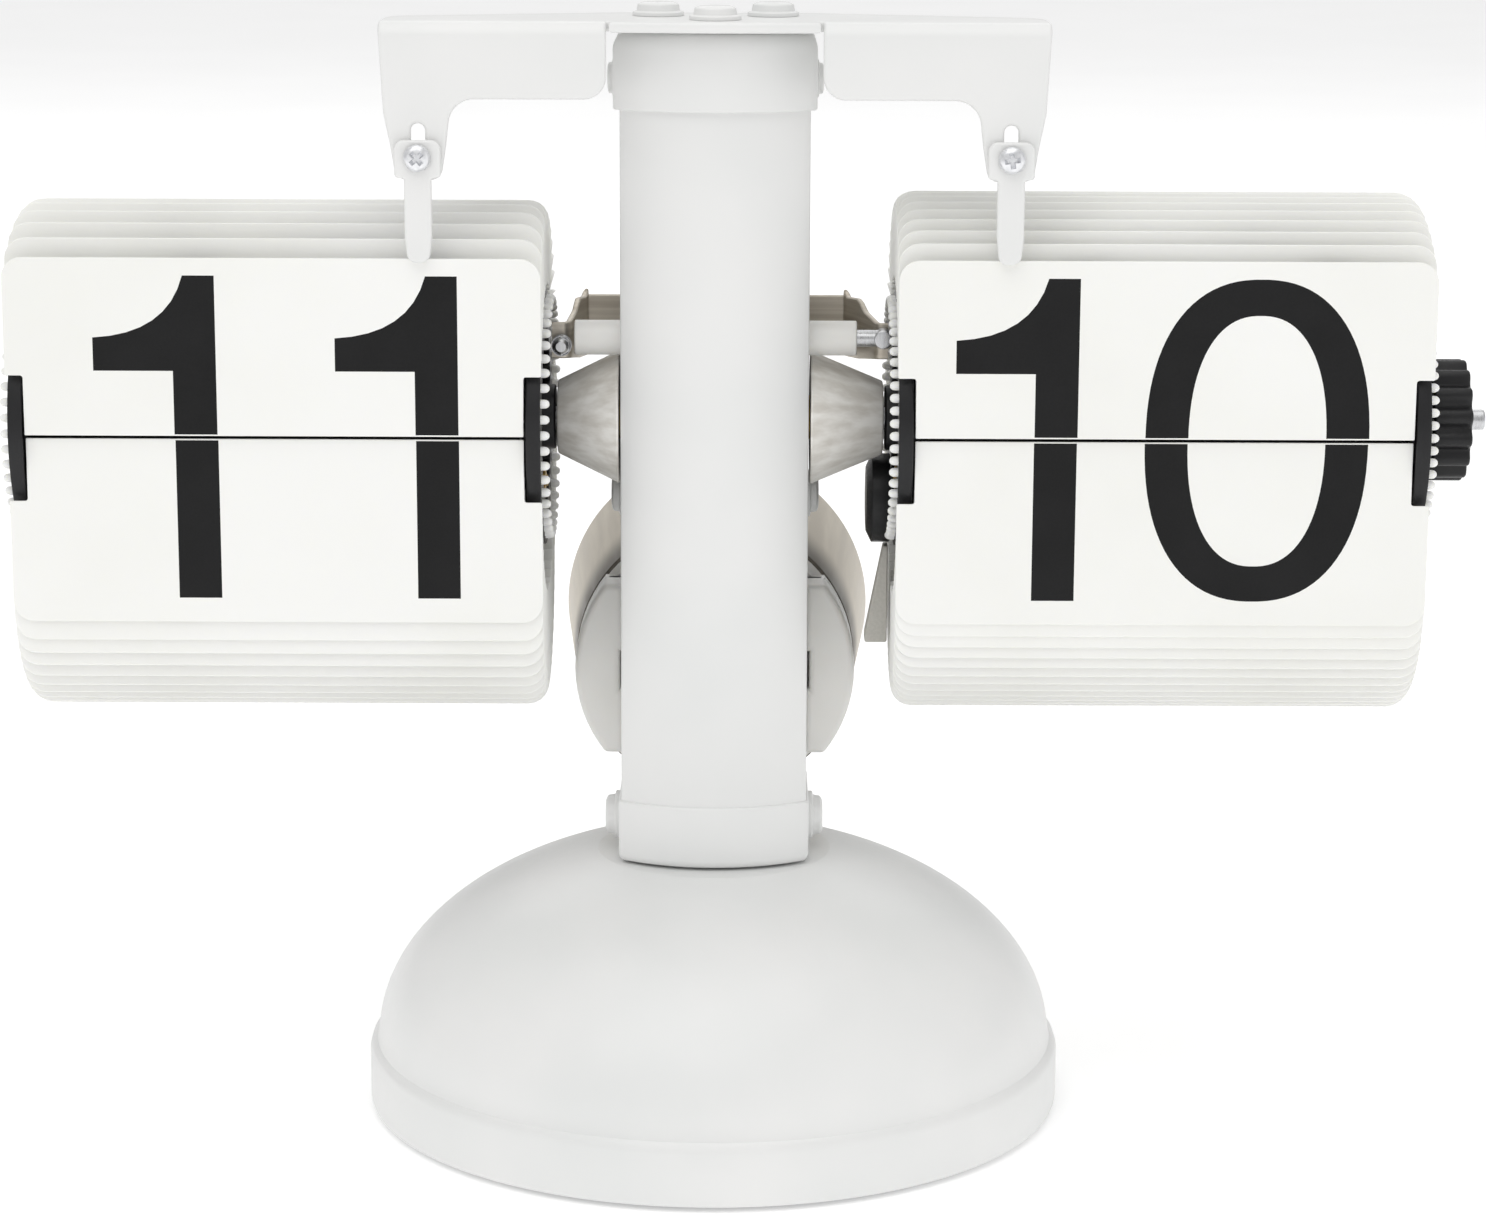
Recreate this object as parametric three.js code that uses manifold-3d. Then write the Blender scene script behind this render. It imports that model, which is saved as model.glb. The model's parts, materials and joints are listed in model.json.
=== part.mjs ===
// Flip number clock on a pedestal: two spools of hinged leaves on one horizontal axis,
// carried by a column with a domed base, a steel battery sleeve and a T-shaped arm on top.
// Millimetres, +Z up, the leaves face -Y. The origin is the centre of the base's underside.
import * as THREE from 'three';
import { mergeVertices } from 'three/addons/utils/BufferGeometryUtils.js';
import Module from 'manifold-3d';

const wasm = await Module();
wasm.setup();

// ---- Driving dimensions ----------------------------------------------------------------

const GAP = 0.3; // air left between neighbouring pieces
const HOLE_CLEARANCE = 0.3; // radial room of a shank or shaft in its hole
const EXTRA_ROOM = 0.1; // added to a gap beside a turning or faceted piece
const WELD = 1e-4; // vertices closer than this are one
const OVERLAP = 1; // how far joined solids run into each other, and cutters past a surface

// Base
const BASE_RADIUS = 49.2;
const BASE_WALL = 1.5;
const BAND_HEIGHT = 8.6; // upright band at the foot of the dome
const SHOULDER_STEP = 1.3; // the dome starts this far inside the band
const SHOULDER_RISE = 0.9;
const DOME_RISE = 28.5;
const NECK_RADIUS = 16.5; // flat top of the dome
const PAD_THICKNESS = 1.3;
const PAD_MARGIN = 4.2;
const BASE_PLATE_THICKNESS = 1.0;
const BALLAST_THICKNESS = 12;
const BALLAST_MARGIN = 9.2;
const BALLAST_HUB_RADIUS = 9;
const BOLT_RADIUS = 3;
const BOLT_HEAD_RADIUS = 5;
const BOLT_HEAD_HEIGHT = 2.5;
const BOLT_REACH = 7; // length of the bolt inside the foot

// Column
const COLUMN_WIDTH = 25.8;
const COLUMN_FRONT = -13;
const COLUMN_BACK = 9;
const COLUMN_FACE_RADIUS = 22.3; // arc of the bowed front face
const COLUMN_WALL = 1.5;
const FOOT_HEIGHT = 8.8;
const FOOT_COLLAR = 0.4; // the foot is this much wider all round than the column
const SPIGOT_HEIGHT = 7.5;
const CAP_HEIGHT = 10.5;
const CAP_WALL = 0.6;

// Leaves and drums, measured from the drum axis
const AXIS_HEIGHT = 98.2;
const LEAF_WIDTH = 72.2;
const LEAF_REACH = 24.6; // hinge line to free edge
const LEAF_LIP = 0.5; // hinge line to hinged edge
const LEAF_THICKNESS = 0.35;
const LEAF_CORNER = 3;
const NOTCH_HEIGHT = 8.5; // cut-out that clears the drum's end discs
const PIN_CIRCLE = 16.4;
const DISC_RADIUS = 17.8;
const DISC_THICKNESS = 2.6;
const DISC_INSET = 0.2; // leaf's edge to disc's outer face
const DISPLAY_GAP = 11.1; // column's side to leaf
const DISPLAY_SHIFT = 0.75; // both displays stand this far to the right of the column's middle
const HOURS = { leaves: 48, ringTeeth: 48, pinionTeeth: 8, caseLength: 24 };
const MINUTES = { leaves: 60, ringTeeth: 50, pinionTeeth: 10, caseLength: 34 };
const FAN_LEAN = 0.85; // lean of a leaf for each degree that its hinge has turned
const FAN_LAG = 2.7; // degrees
const FRONT_LEAF_OFFSET = 0.8; // hinge of the leaf that falls, ahead of the pin circle
const FRONT_LEAF_THICKNESS = 0.4;
const FRONT_HINGE_RISE = 0.3;
const FAN_END = 195; // degrees; hinges turned further belong to the hanging stack
const STACK_ROOM = 15; // degrees kept free behind the lower leaf
const ROOT_MARGIN = 1; // degrees that the band of hinged edges runs past its leaves
const ROOT_DEPTH = 1.1; // band where the hinged edges of a pack lie side by side

// Drive
const GEAR_MODULE = 0.5;
const TOOTH_ROOT = 0.24; // half a tooth's width at its root, as a share of the pitch
const TOOTH_TIP = 0.09;
const PINION_OFFSET = 10;
const PINION_ANGLE = THREE.MathUtils.degToRad(-73.7); // from the back, about the drum axis
const PINION_SHAFT = 0.8;
const AXLE_RADIUS = 1.42;
const AXLE_END = 10.1; // axle's end beyond the minute leaves
const TUBE_WALL = 0.8;
const CASE_RADIUS = 12;
const NECK_OF_CASE_RADIUS = 4.5;
const PINION_DEPTH_IN_CASE = 3;
const KNOB_RADIUS = 8.55;
const KNOB_LENGTH = 5.4;
const KNOB_SETBACK = 2.9; // axle's end beyond the knob
const KNOB_RIBS = 15;
const KNOB_GROOVE = 1;
const HOUR_AXLE_END = 1.4; // axle's end beyond the outer hour disc

// Sleeves between column and displays
const SLEEVE_TO_DISC = 1.65; // room for the ends of the hinge pins
const SLEEVE_WIDE = 9.3;
const SLEEVE_NARROW = 5.1;
const BUSH_WALL = 1.38;
const BUSH_INBOARD = 4.9;

// Spacer, tie rod and saddle bracket, places from the drum axis
const SPACER = { y: -4, z: 11.7, radius: 2.4, bore: 1.6, left: 6.4, right: 6.6 };
const TIE_ROD_RADIUS = 1.3;
const TIE_ROD_STEP = 0.1; // the rod is this much thinner than its eye
const TIE_EYE_PROUD = 0.4; // eye's front ahead of the rod
const BRACKET_STUD_RADIUS = 1.05;
const BRACKET_STUD_PROUD = 0.8; // stud's end beyond its nut
const BRACKET_STUD_DROP = 1.2; // below the spacer's axis
const BRACKET_NUT_RADIUS = 1.6;
const BRACKET_STUD_INSET = 0.25; // from the middle of the tab towards its bend
const BRACKET_NUT_HEIGHT = 1.8;
const BRACKET_SHEET = 0.8;
const BRACKET_STAND_OFF = 5.4; // wings' roots beyond the column's side
const BRACKET_FLARE = 2; // wings splay outwards
const BRACKET_FRONT = -2;
const BRACKET_TAB = { left: 2.2, right: 3.6 };
const BRACKET_BOTTOM = 7.3;
const BRACKET_TOP = 15.8;
const BRACKET_TIP = 0.9; // raised corners of the back plate
const BRACKET_SLOPE = 3.7;
const BRACKET_CUT_MARGIN = 3;

// Battery holder, places from the drum axis
const BATTERY_DROP = 37.2;
const HOLDER_RADIUS = 19.9;
const HOLDER_HALF_HEIGHT = 12.3;
const HOLDER_GRIP = 4.5; // the holder's cheeks reach this far forward along the column
const HOLDER_PLATE = 3.2;
const LINER_WALL = 5.6;
const LINER_LENGTH = 35;
const RIM_RADIUS = 22.9;
const RIM_Y = 51;
const STEEL_SHEET = 0.5;
const CELL_RADIUS = 13.1;
const CELL_LENGTH = 48.5;
const CELL_NUB_RADIUS = 3.6;
const CELL_NUB_HEIGHT = 1.5;
const CONTACT_RADIUS = 7.2;
const CONTACT_THICKNESS = 0.5;
const SPRING_WIRE = 0.45;
const SPRING_TURNS = 3;
const SPRING_LENGTH = 4.4;
const CAP_SHELL = 1.5;
const CAP_SPIGOT = 3;
const CAP_FLANGE = 2; // height of the cap's rim
const CAP_CHAMFER = 2;
const LINER_FLARE = 0.06; // growth of the liner's radius for each millimetre of length
const SPRING_WIDE = 9.2; // radius of the spring's last turn

// Motor housing and guide plate beside the minute drum
const MOTOR = { y: 3.5, z: -12, radius: 6.35, thickness: 3.35, chamfer: 0.8 };
const GUIDE = { front: 2, back: 5, height: 13.9, step: 2.5, lower: 1.2, width: 3.15 };

// Arm
const ARM_HEADROOM = 30.6; // leaf's top edge to the arm's top
const ARM_REACH = 44.6;
const ARM_SHEET = 1.4;
const ARM_FACE = -17.4;
const ARM_BULGE = 0.8;
const ARM_DEPTH_CENTRE = 22.4;
const ARM_DEPTH_END = 12.9;
const ARM_END_ROUND = 5;
const FLANGE_START = 14.4;
const FLANGE_HEIGHT = 10.2;
const FLANGE_ROUND = 3;
const LEG = { x: 39.4, drop: 20.9, top: 4.4, middle: 3.6, foot: 1.9, taper: 3, fillet: 2.9 };
const LEG_FOOT_ROUND = 1.4; // how far the foot's curve swells, as a share of its half width
const SLOT_RADIUS = 0.95;
const SLOT_TOP = 13.4; // below the arm's top
const SLOT_BOTTOM = 19.6;
const ARM_RIVETS = [
  { name: 'arm_rivet_front', x: 0, y: -11 },
  { name: 'arm_rivet_left', x: -7.8, y: -2.5 },
  { name: 'arm_rivet_right', x: 7.8, y: -2.5 },
];

// Fingers that hold the front leaves up
const FINGER_HEAD_WIDTH = 6.2;
const FINGER_HEAD_HEIGHT = 6.4;
const FINGER_HEAD_ROUND = 1.6;
const FINGER_STEM_WIDTH = 3.7;
const FINGER_THICKNESS = 1.2;
const FINGER_SCREW_DROP = 17.8; // below the arm's top
const FINGER_HEAD_TOP = 13.9;
const SCREW = { shank: 0.6, head: 1.8, crown: 1.26, headHeight: 1.2, length: 3.4 };

// Rivets
const BIG_RIVET = { flange: 3.5, head: 2.85, flangeHeight: 0.6, height: 1.6, shank: 0.9 };
const SIDE_RIVET = { flange: 3.3, head: 2.6, flangeHeight: 0.6, height: 1.4, shank: 1 };
const CAP_RIVET = { flange: 2.6, head: 2.3, flangeHeight: 0.4, height: 0.7, shank: 1 };
const FOOT_RIVET = { flange: 3.4, head: 2.6, flangeHeight: 0.9, height: 1.8, shank: 1 };
const SIDE_RIVET_PLACE = { y: 5.7, drop: 11.75 };
const RIVET_SHANK_REACH = 2;
const CAP_RIVET_DROP = 6.9; // below the cap's top

// Facets round each kind of turned piece
const SEGMENTS = { band: 24, wire: 3, base: 36, drum: 32, medium: 20, small: 12, tiny: 8, curve: 5 };

// ---- Derived dimensions ----------------------------------------------------------------

const DOME_RADIUS = BASE_RADIUS - SHOULDER_STEP;
const SHOULDER_HEIGHT = BAND_HEIGHT + SHOULDER_RISE;
const NECK_ANGLE = Math.acos(NECK_RADIUS / DOME_RADIUS);
const NECK_HEIGHT = SHOULDER_HEIGHT + DOME_RISE * Math.sin(NECK_ANGLE);
const FOOT_BOTTOM = NECK_HEIGHT + GAP;
const FOOT_TOP = FOOT_BOTTOM + FOOT_HEIGHT;
const COLUMN_SIDE = COLUMN_WIDTH / 2;
const LEAF_TOP = FRONT_HINGE_RISE + LEAF_REACH; // above the axis
const ARM_TOP = AXIS_HEIGHT + LEAF_TOP + ARM_HEADROOM;
const CAP_TOP = ARM_TOP - ARM_SHEET - GAP;
const COLUMN_TOP = CAP_TOP - CAP_WALL - GAP;
const CAP_SIDE = COLUMN_SIDE + GAP + CAP_WALL;
const LEAF_START = COLUMN_SIDE + DISPLAY_GAP;
const LEAF_END = LEAF_START + LEAF_WIDTH;
const INNER_DISC = [LEAF_START + DISC_INSET, LEAF_START + DISC_INSET + DISC_THICKNESS];
const OUTER_DISC = [LEAF_END - DISC_INSET - DISC_THICKNESS, LEAF_END - DISC_INSET];
const NOTCH_WIDTH = DISC_INSET + DISC_THICKNESS + GAP;
const TUBE_RADIUS = PIN_CIRCLE - ROOT_DEPTH - GAP - EXTRA_ROOM;
const FRONT_HINGE_Y = -PIN_CIRCLE - FRONT_LEAF_OFFSET;
const SLEEVE_START = COLUMN_SIDE + GAP;
const SLEEVE_REACH = INNER_DISC[0] - SLEEVE_TO_DISC;
const AXLE_HOLE = AXLE_RADIUS + HOLE_CLEARANCE;
const BUSH_RADIUS = AXLE_HOLE + BUSH_WALL;
const BUSH_HOLE = BUSH_RADIUS + HOLE_CLEARANCE;
const BRACKET_HALF_WIDTH = COLUMN_SIDE + BRACKET_STAND_OFF;
const STUD_X = BRACKET_HALF_WIDTH + BRACKET_FLARE + BRACKET_TAB.left / 2 - BRACKET_STUD_INSET;
const STUD_Z = SPACER.z - BRACKET_STUD_DROP;
const PINION_Y = PINION_OFFSET * Math.cos(PINION_ANGLE);
const PINION_Z = PINION_OFFSET * Math.sin(PINION_ANGLE);
const ADDENDUM = 0.75 * GEAR_MODULE; // stubbed, for backlash
const DEDENDUM = 1.2 * GEAR_MODULE;
const FINGER_FACE_BACK = ARM_FACE - GAP;
const FINGER_FACE_FRONT = FINGER_FACE_BACK - FINGER_THICKNESS;
const BATTERY_HEIGHT = AXIS_HEIGHT - BATTERY_DROP;
const HOLDER_BACK = COLUMN_BACK + GAP + HOLDER_PLATE;
const SLEEVE_FRONT_RADIUS = HOLDER_RADIUS + EXTRA_ROOM;
const LINER_RADIUS = SLEEVE_FRONT_RADIUS - STEEL_SHEET - GAP;
const LINER_BORE = LINER_RADIUS - LINER_WALL;
const CONTACT_Y = HOLDER_BACK + GAP;
const CELL_Y = CONTACT_Y + CONTACT_THICKNESS + GAP;
const CELL_BACK = CELL_Y + CELL_NUB_HEIGHT + CELL_LENGTH;
const SPRING_Y = CELL_BACK + GAP + SPRING_WIRE;
const CAP_FLOOR = SPRING_Y + SPRING_LENGTH + SPRING_WIRE + GAP;

// ---- Materials -------------------------------------------------------------------------

const finish = (color, roughness, metalness) =>
  new THREE.MeshStandardMaterial({ color, roughness, metalness });

const whitePaint = finish('#ebebea', 0.38, 0);
const whitePlastic = finish('#ecebe8', 0.45, 0);
const leafPlastic = finish('#efefed', 0.6, 0);
const blackPlastic = finish('#2a2a2c', 0.5, 0);
const creamPlastic = finish('#cbc9c2', 0.55, 0);
const warmSteel = finish('#b6b1a7', 0.32, 1);
const brightSteel = finish('#c6c6c8', 0.25, 1);
const castIron = finish('#4a4a4b', 0.8, 1);
const brassMetal = finish('#c8a95c', 0.35, 1);
const padRubber = finish('#3a3a3a', 0.9, 0);
const cellLabel = finish('#6f7780', 0.4, 0.3);

// ---- Geometry helpers ------------------------------------------------------------------

// A closed geometry as a solid that can be joined and cut.
function solidOf(geometry) {
  const bare = geometry.index ? geometry.toNonIndexed() : geometry.clone();
  bare.deleteAttribute('normal');
  bare.deleteAttribute('uv');
  const welded = mergeVertices(bare, WELD);
  return new wasm.Manifold(new wasm.Mesh({
    numProp: 3,
    vertProperties: welded.attributes.position.array,
    triVerts: new Uint32Array(welded.index.array),
  }));
}

function geometryOf(solid) {
  const mesh = solid.getMesh();
  const geometry = new THREE.BufferGeometry();
  geometry.setAttribute('position', new THREE.BufferAttribute(mesh.vertProperties, mesh.numProp));
  geometry.setIndex(new THREE.BufferAttribute(mesh.triVerts, 1));
  geometry.computeVertexNormals();
  return geometry;
}

const joined = (...geometries) =>
  geometryOf(geometries.map(solidOf).reduce((whole, piece) => whole.add(piece)));

const cut = (geometry, ...tools) =>
  geometryOf(tools.map(solidOf).reduce((left, tool) => left.subtract(tool), solidOf(geometry)));

function extruded(shape, depth, segments) {
  return new THREE.ExtrudeGeometry(shape, {
    depth, bevelEnabled: false, curveSegments: segments,
  });
}

// An outline drawn in (x, y), from z = low to z = high.
const plateZ = (shape, low, high, segments = SEGMENTS.curve) =>
  extruded(shape, high - low, segments).translate(0, 0, low);

// An outline drawn in (x, z), from y = front to y = back.
const plateY = (shape, front, back, segments = SEGMENTS.curve) =>
  extruded(shape, back - front, segments).rotateX(Math.PI / 2).translate(0, back, 0);

// An outline drawn in (y, z), from x = left to x = right.
const plateX = (shape, left, right, segments = SEGMENTS.curve) =>
  extruded(shape, right - left, segments).rotateX(Math.PI / 2).rotateZ(Math.PI / 2)
    .translate(left, 0, 0);

// A profile of [place along the axis, radius] pairs, turned about that axis. A profile
// leaves the axis and comes back to it, or closes on itself, with the outside first.
function turned(profile, segments) {
  const points = profile.map(([along, radius]) => new THREE.Vector2(radius, along));
  return new THREE.LatheGeometry(points, segments);
}
const turnedY = turned;
const turnedX = (profile, segments) => turned(profile, segments).rotateZ(-Math.PI / 2);
const turnedZ = (profile, segments) => turned(profile, segments).rotateX(Math.PI / 2);

const rod = (start, end, radius) => [[start, 0], [start, radius], [end, radius], [end, 0]];
const tube = (start, end, bore, radius) =>
  [[start, bore], [start, radius], [end, radius], [end, bore], [start, bore]];

function polygon(points) {
  return new THREE.Shape(points.map(([a, b]) => new THREE.Vector2(a, b)));
}

function circle(radius, a = 0, b = 0) {
  return new THREE.Shape().absarc(a, b, radius, 0, 2 * Math.PI);
}

function piece(name, geometry, material) {
  const mesh = new THREE.Mesh(geometry, material);
  mesh.name = name;
  return mesh;
}

function placed(object, x, y, z) {
  object.position.set(x, y, z);
  return object;
}

// ---- Base ------------------------------------------------------------------------------

// Band, shoulder and dome from the rim to the flat top, set in by a wall's thickness.
function domeOutline(inset, steps) {
  const outline = [
    [GAP, BASE_RADIUS - inset],
    [BAND_HEIGHT - inset, BASE_RADIUS - inset],
    [BAND_HEIGHT + SHOULDER_RISE / 2 - inset, DOME_RADIUS + SHOULDER_STEP / 2 - inset],
  ];
  for (let step = 0; step <= steps; step++) {
    const angle = NECK_ANGLE * (step / steps);
    outline.push([
      SHOULDER_HEIGHT - inset + DOME_RISE * Math.sin(angle),
      (DOME_RADIUS - inset) * Math.cos(angle),
    ]);
  }
  return outline;
}

function makeBase() {
  const base = new THREE.Group();
  const boltHole = BOLT_RADIUS + HOLE_CLEARANCE;
  const outside = domeOutline(0, 8);
  const inside = domeOutline(BASE_WALL, 4).reverse();
  const shell = [
    ...outside,
    [NECK_HEIGHT, boltHole],
    [NECK_HEIGHT - BASE_WALL, boltHole],
    ...inside,
    outside[0],
  ];
  base.add(piece('base_dome', turnedZ(shell, SEGMENTS.base), whitePaint));

  const padRadius = BASE_RADIUS - PAD_MARGIN;
  base.add(piece('base_pad', turnedZ(rod(0, PAD_THICKNESS, padRadius), SEGMENTS.base), padRubber));

  const plateBottom = PAD_THICKNESS + GAP;
  const plateTop = plateBottom + BASE_PLATE_THICKNESS;
  const plateRadius = BASE_RADIUS - BASE_WALL - GAP;
  const plate = turnedZ(rod(plateBottom, plateTop, plateRadius), SEGMENTS.base);
  base.add(piece('base_plate', plate, brightSteel));

  const headBottom = plateTop + GAP;
  const headTop = headBottom + BOLT_HEAD_HEIGHT;
  const ballastBottom = headTop + GAP;
  const ballastTop = ballastBottom + BALLAST_THICKNESS;
  const hubTop = NECK_HEIGHT - BASE_WALL - GAP;
  const ballast = [
    [ballastBottom, boltHole],
    [ballastBottom, BASE_RADIUS - BALLAST_MARGIN],
    [ballastTop, BASE_RADIUS - BALLAST_MARGIN],
    [ballastTop, BALLAST_HUB_RADIUS],
    [hubTop, BALLAST_HUB_RADIUS],
    [hubTop, boltHole],
    [ballastBottom, boltHole],
  ];
  base.add(piece('base_ballast', turnedZ(ballast, SEGMENTS.medium), castIron));

  const boltTop = FOOT_BOTTOM + BOLT_REACH;
  const bolt = [
    [headBottom, 0],
    [headBottom, BOLT_HEAD_RADIUS],
    [headTop, BOLT_HEAD_RADIUS],
    [headTop, BOLT_RADIUS],
    [boltTop, BOLT_RADIUS],
    [boltTop, 0],
  ];
  base.add(piece('column_bolt', turnedZ(bolt, SEGMENTS.small), brightSteel));
  return base;
}

// ---- Column ----------------------------------------------------------------------------

// The column's outline in plan, grown outwards or set in all round.
function columnSection(grow) {
  const side = COLUMN_SIDE + grow;
  const back = COLUMN_BACK + grow;
  const centre = COLUMN_FRONT + COLUMN_FACE_RADIUS;
  const radius = COLUMN_FACE_RADIUS + grow;
  const drop = Math.acos(side / radius);
  const section = new THREE.Shape();
  section.moveTo(side, back);
  section.lineTo(-side, back);
  section.absarc(0, centre, radius, drop - Math.PI, -drop);
  section.lineTo(side, back);
  return section;
}

function columnTube(outer, inner, low, high) {
  const section = columnSection(outer);
  section.holes.push(columnSection(inner));
  return plateZ(section, low, high, SEGMENTS.small);
}

const crossHole = (radius, y, z, segments = SEGMENTS.small) =>
  turnedX(rod(-CAP_SIDE - 1, CAP_SIDE + 1, radius), segments).translate(0, y, z);

function makeColumn() {
  const column = new THREE.Group();
  const footRivetHeight = FOOT_BOTTOM + FOOT_HEIGHT / 2;
  const capRivetHeight = CAP_TOP - CAP_RIVET_DROP;
  const sideRivetHeight = AXIS_HEIGHT - SIDE_RIVET_PLACE.drop;
  const footShank = FOOT_RIVET.shank + HOLE_CLEARANCE;
  const capShank = CAP_RIVET.shank + HOLE_CLEARANCE;
  const sideShank = SIDE_RIVET.shank + HOLE_CLEARANCE;

  const spigotTop = FOOT_TOP + SPIGOT_HEIGHT;
  const foot = cut(
    joined(
      plateZ(columnSection(FOOT_COLLAR), FOOT_BOTTOM, FOOT_TOP, SEGMENTS.small),
      plateZ(columnSection(-COLUMN_WALL - GAP), FOOT_TOP - OVERLAP, spigotTop, SEGMENTS.small),
    ),
    turnedZ(rod(FOOT_BOTTOM - 1, spigotTop + 1, BOLT_RADIUS + HOLE_CLEARANCE), SEGMENTS.small),
    crossHole(footShank, 0, footRivetHeight),
  );
  column.add(piece('column_foot', foot, whitePaint));

  const body = cut(
    columnTube(0, -COLUMN_WALL, FOOT_TOP + GAP, COLUMN_TOP),
    crossHole(BUSH_HOLE, 0, AXIS_HEIGHT),
    crossHole(SPACER.radius + HOLE_CLEARANCE, SPACER.y, AXIS_HEIGHT + SPACER.z),
    crossHole(sideShank, SIDE_RIVET_PLACE.y, sideRivetHeight),
    crossHole(capShank, 0, capRivetHeight),
  );
  column.add(piece('column', body, whitePaint));

  const capLow = CAP_TOP - CAP_HEIGHT;
  const rivetHoles = ARM_RIVETS.map(({ x, y }) =>
    turnedZ(rod(CAP_TOP - 3, CAP_TOP + 1, BIG_RIVET.shank + HOLE_CLEARANCE), SEGMENTS.small)
      .translate(x, y, 0));
  const cap = cut(
    joined(
      columnTube(GAP + CAP_WALL, GAP, capLow, CAP_TOP - CAP_WALL / 2),
      plateZ(columnSection(GAP + CAP_WALL), CAP_TOP - CAP_WALL, CAP_TOP, SEGMENTS.small),
    ),
    crossHole(capShank, 0, capRivetHeight),
    ...rivetHoles,
  );
  column.add(piece('column_cap', cap, whitePaint));

  for (const [side, label] of [[-1, 'left'], [1, 'right']]) {
    const rivets = [
      [`foot_rivet_${label}`, FOOT_RIVET, COLUMN_SIDE + FOOT_COLLAR, 0, footRivetHeight],
      [`column_rivet_${label}`, SIDE_RIVET, COLUMN_SIDE, SIDE_RIVET_PLACE.y, sideRivetHeight],
      [`cap_rivet_${label}`, CAP_RIVET, CAP_SIDE, 0, capRivetHeight],
    ];
    for (const [name, size, face, y, z] of rivets) {
      const rivet = piece(name, rivetGeometry(size, RIVET_SHANK_REACH), whitePaint);
      rivet.rotation.y = side * Math.PI / 2;
      column.add(placed(rivet, side * (face + GAP), y, z));
    }
  }
  return column;
}

// A rivet whose flange rests on z = 0, with its shank below.
function rivetGeometry({ flange, head, flangeHeight, height, shank }, shankReach) {
  return turnedZ([
    [-shankReach, 0],
    [-shankReach, shank],
    [0, shank],
    [0, flange],
    [flangeHeight, flange],
    [flangeHeight, head],
    [height - (head - shank) / 4, head],
    [height, shank],
    [height, 0],
  ], SEGMENTS.small);
}

// ---- Arm and fingers -------------------------------------------------------------------

// Half of the front wall in (x, z) from the arm's top: flange, convex corner and leg.
function wallOutline() {
  const flangeBottom = -FLANGE_HEIGHT;
  const legInside = LEG.x - LEG.top;
  const legOutside = LEG.x + LEG.top;
  const shape = new THREE.Shape();
  shape.moveTo(FLANGE_START, 0);
  shape.lineTo(FLANGE_START, flangeBottom + FLANGE_ROUND);
  shape.quadraticCurveTo(FLANGE_START, flangeBottom, FLANGE_START + FLANGE_ROUND, flangeBottom);
  shape.lineTo(legInside - LEG.fillet, flangeBottom);
  shape.quadraticCurveTo(legInside, flangeBottom, legInside, flangeBottom - LEG.fillet);
  shape.lineTo(LEG.x - LEG.middle, -LEG.drop + LEG.taper);
  shape.quadraticCurveTo(LEG.x - LEG.foot * LEG_FOOT_ROUND, -LEG.drop, LEG.x - LEG.foot, -LEG.drop);
  shape.lineTo(LEG.x + LEG.foot, -LEG.drop);
  shape.quadraticCurveTo(LEG.x + LEG.foot * LEG_FOOT_ROUND, -LEG.drop,
    LEG.x + LEG.middle, -LEG.drop + LEG.taper);
  shape.lineTo(legOutside, flangeBottom - LEG.fillet);
  shape.lineTo(ARM_REACH, 0);
  shape.lineTo(FLANGE_START, 0);
  return shape;
}

function slotOutline() {
  const slot = new THREE.Shape();
  slot.absarc(LEG.x, -SLOT_TOP - SLOT_RADIUS, SLOT_RADIUS, 0, Math.PI);
  slot.absarc(LEG.x, -SLOT_BOTTOM + SLOT_RADIUS, SLOT_RADIUS, Math.PI, 2 * Math.PI);
  return slot;
}

function armPlan() {
  const backCentre = ARM_FACE + ARM_DEPTH_CENTRE;
  const backEnd = ARM_FACE + ARM_DEPTH_END;
  const plan = new THREE.Shape();
  plan.moveTo(-ARM_REACH, ARM_FACE);
  plan.lineTo(-FLANGE_START, ARM_FACE);
  plan.quadraticCurveTo(0, ARM_FACE - 2 * ARM_BULGE, FLANGE_START, ARM_FACE);
  plan.lineTo(ARM_REACH, ARM_FACE);
  plan.lineTo(ARM_REACH, backEnd - ARM_END_ROUND);
  plan.quadraticCurveTo(ARM_REACH, backEnd, ARM_REACH - ARM_END_ROUND, backEnd);
  plan.lineTo(COLUMN_SIDE, backCentre);
  plan.lineTo(-COLUMN_SIDE, backCentre);
  plan.lineTo(ARM_END_ROUND - ARM_REACH, backEnd);
  plan.quadraticCurveTo(-ARM_REACH, backEnd, -ARM_REACH, backEnd - ARM_END_ROUND);
  plan.lineTo(-ARM_REACH, ARM_FACE);
  return plan;
}

function makeArm() {
  const arm = new THREE.Group();
  const wall = wallOutline();
  const slot = slotOutline();
  const wallBack = ARM_FACE + ARM_SHEET;
  const rightWall = plateY(wall, ARM_FACE, wallBack, 5);
  const leftWall = plateY(wall, ARM_FACE, wallBack, 5).rotateZ(Math.PI)
    .translate(0, ARM_FACE + wallBack, 0);
  const slots = [-1, 1].map((side) =>
    plateY(slot, ARM_FACE - 1, wallBack + 1, 6).translate(side < 0 ? -2 * LEG.x : 0, 0, 0));
  const rivetHoles = ARM_RIVETS.map(({ x, y }) =>
    turnedZ(rod(-ARM_SHEET - 1, 1, BIG_RIVET.shank + HOLE_CLEARANCE), SEGMENTS.small)
      .translate(x, y, 0));
  const bracket = cut(
    joined(plateZ(armPlan(), -ARM_SHEET, 0, 5), rightWall, leftWall),
    ...slots,
    ...rivetHoles,
  );
  arm.add(piece('arm_bracket', bracket, whitePaint));
  for (const { name, x, y } of ARM_RIVETS) {
    const shankReach = ARM_SHEET + 2 * GAP + CAP_WALL;
    arm.add(placed(piece(name, rivetGeometry(BIG_RIVET, shankReach), whitePaint), x, y, GAP));
  }
  return placed(arm, 0, 0, ARM_TOP);
}

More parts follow.
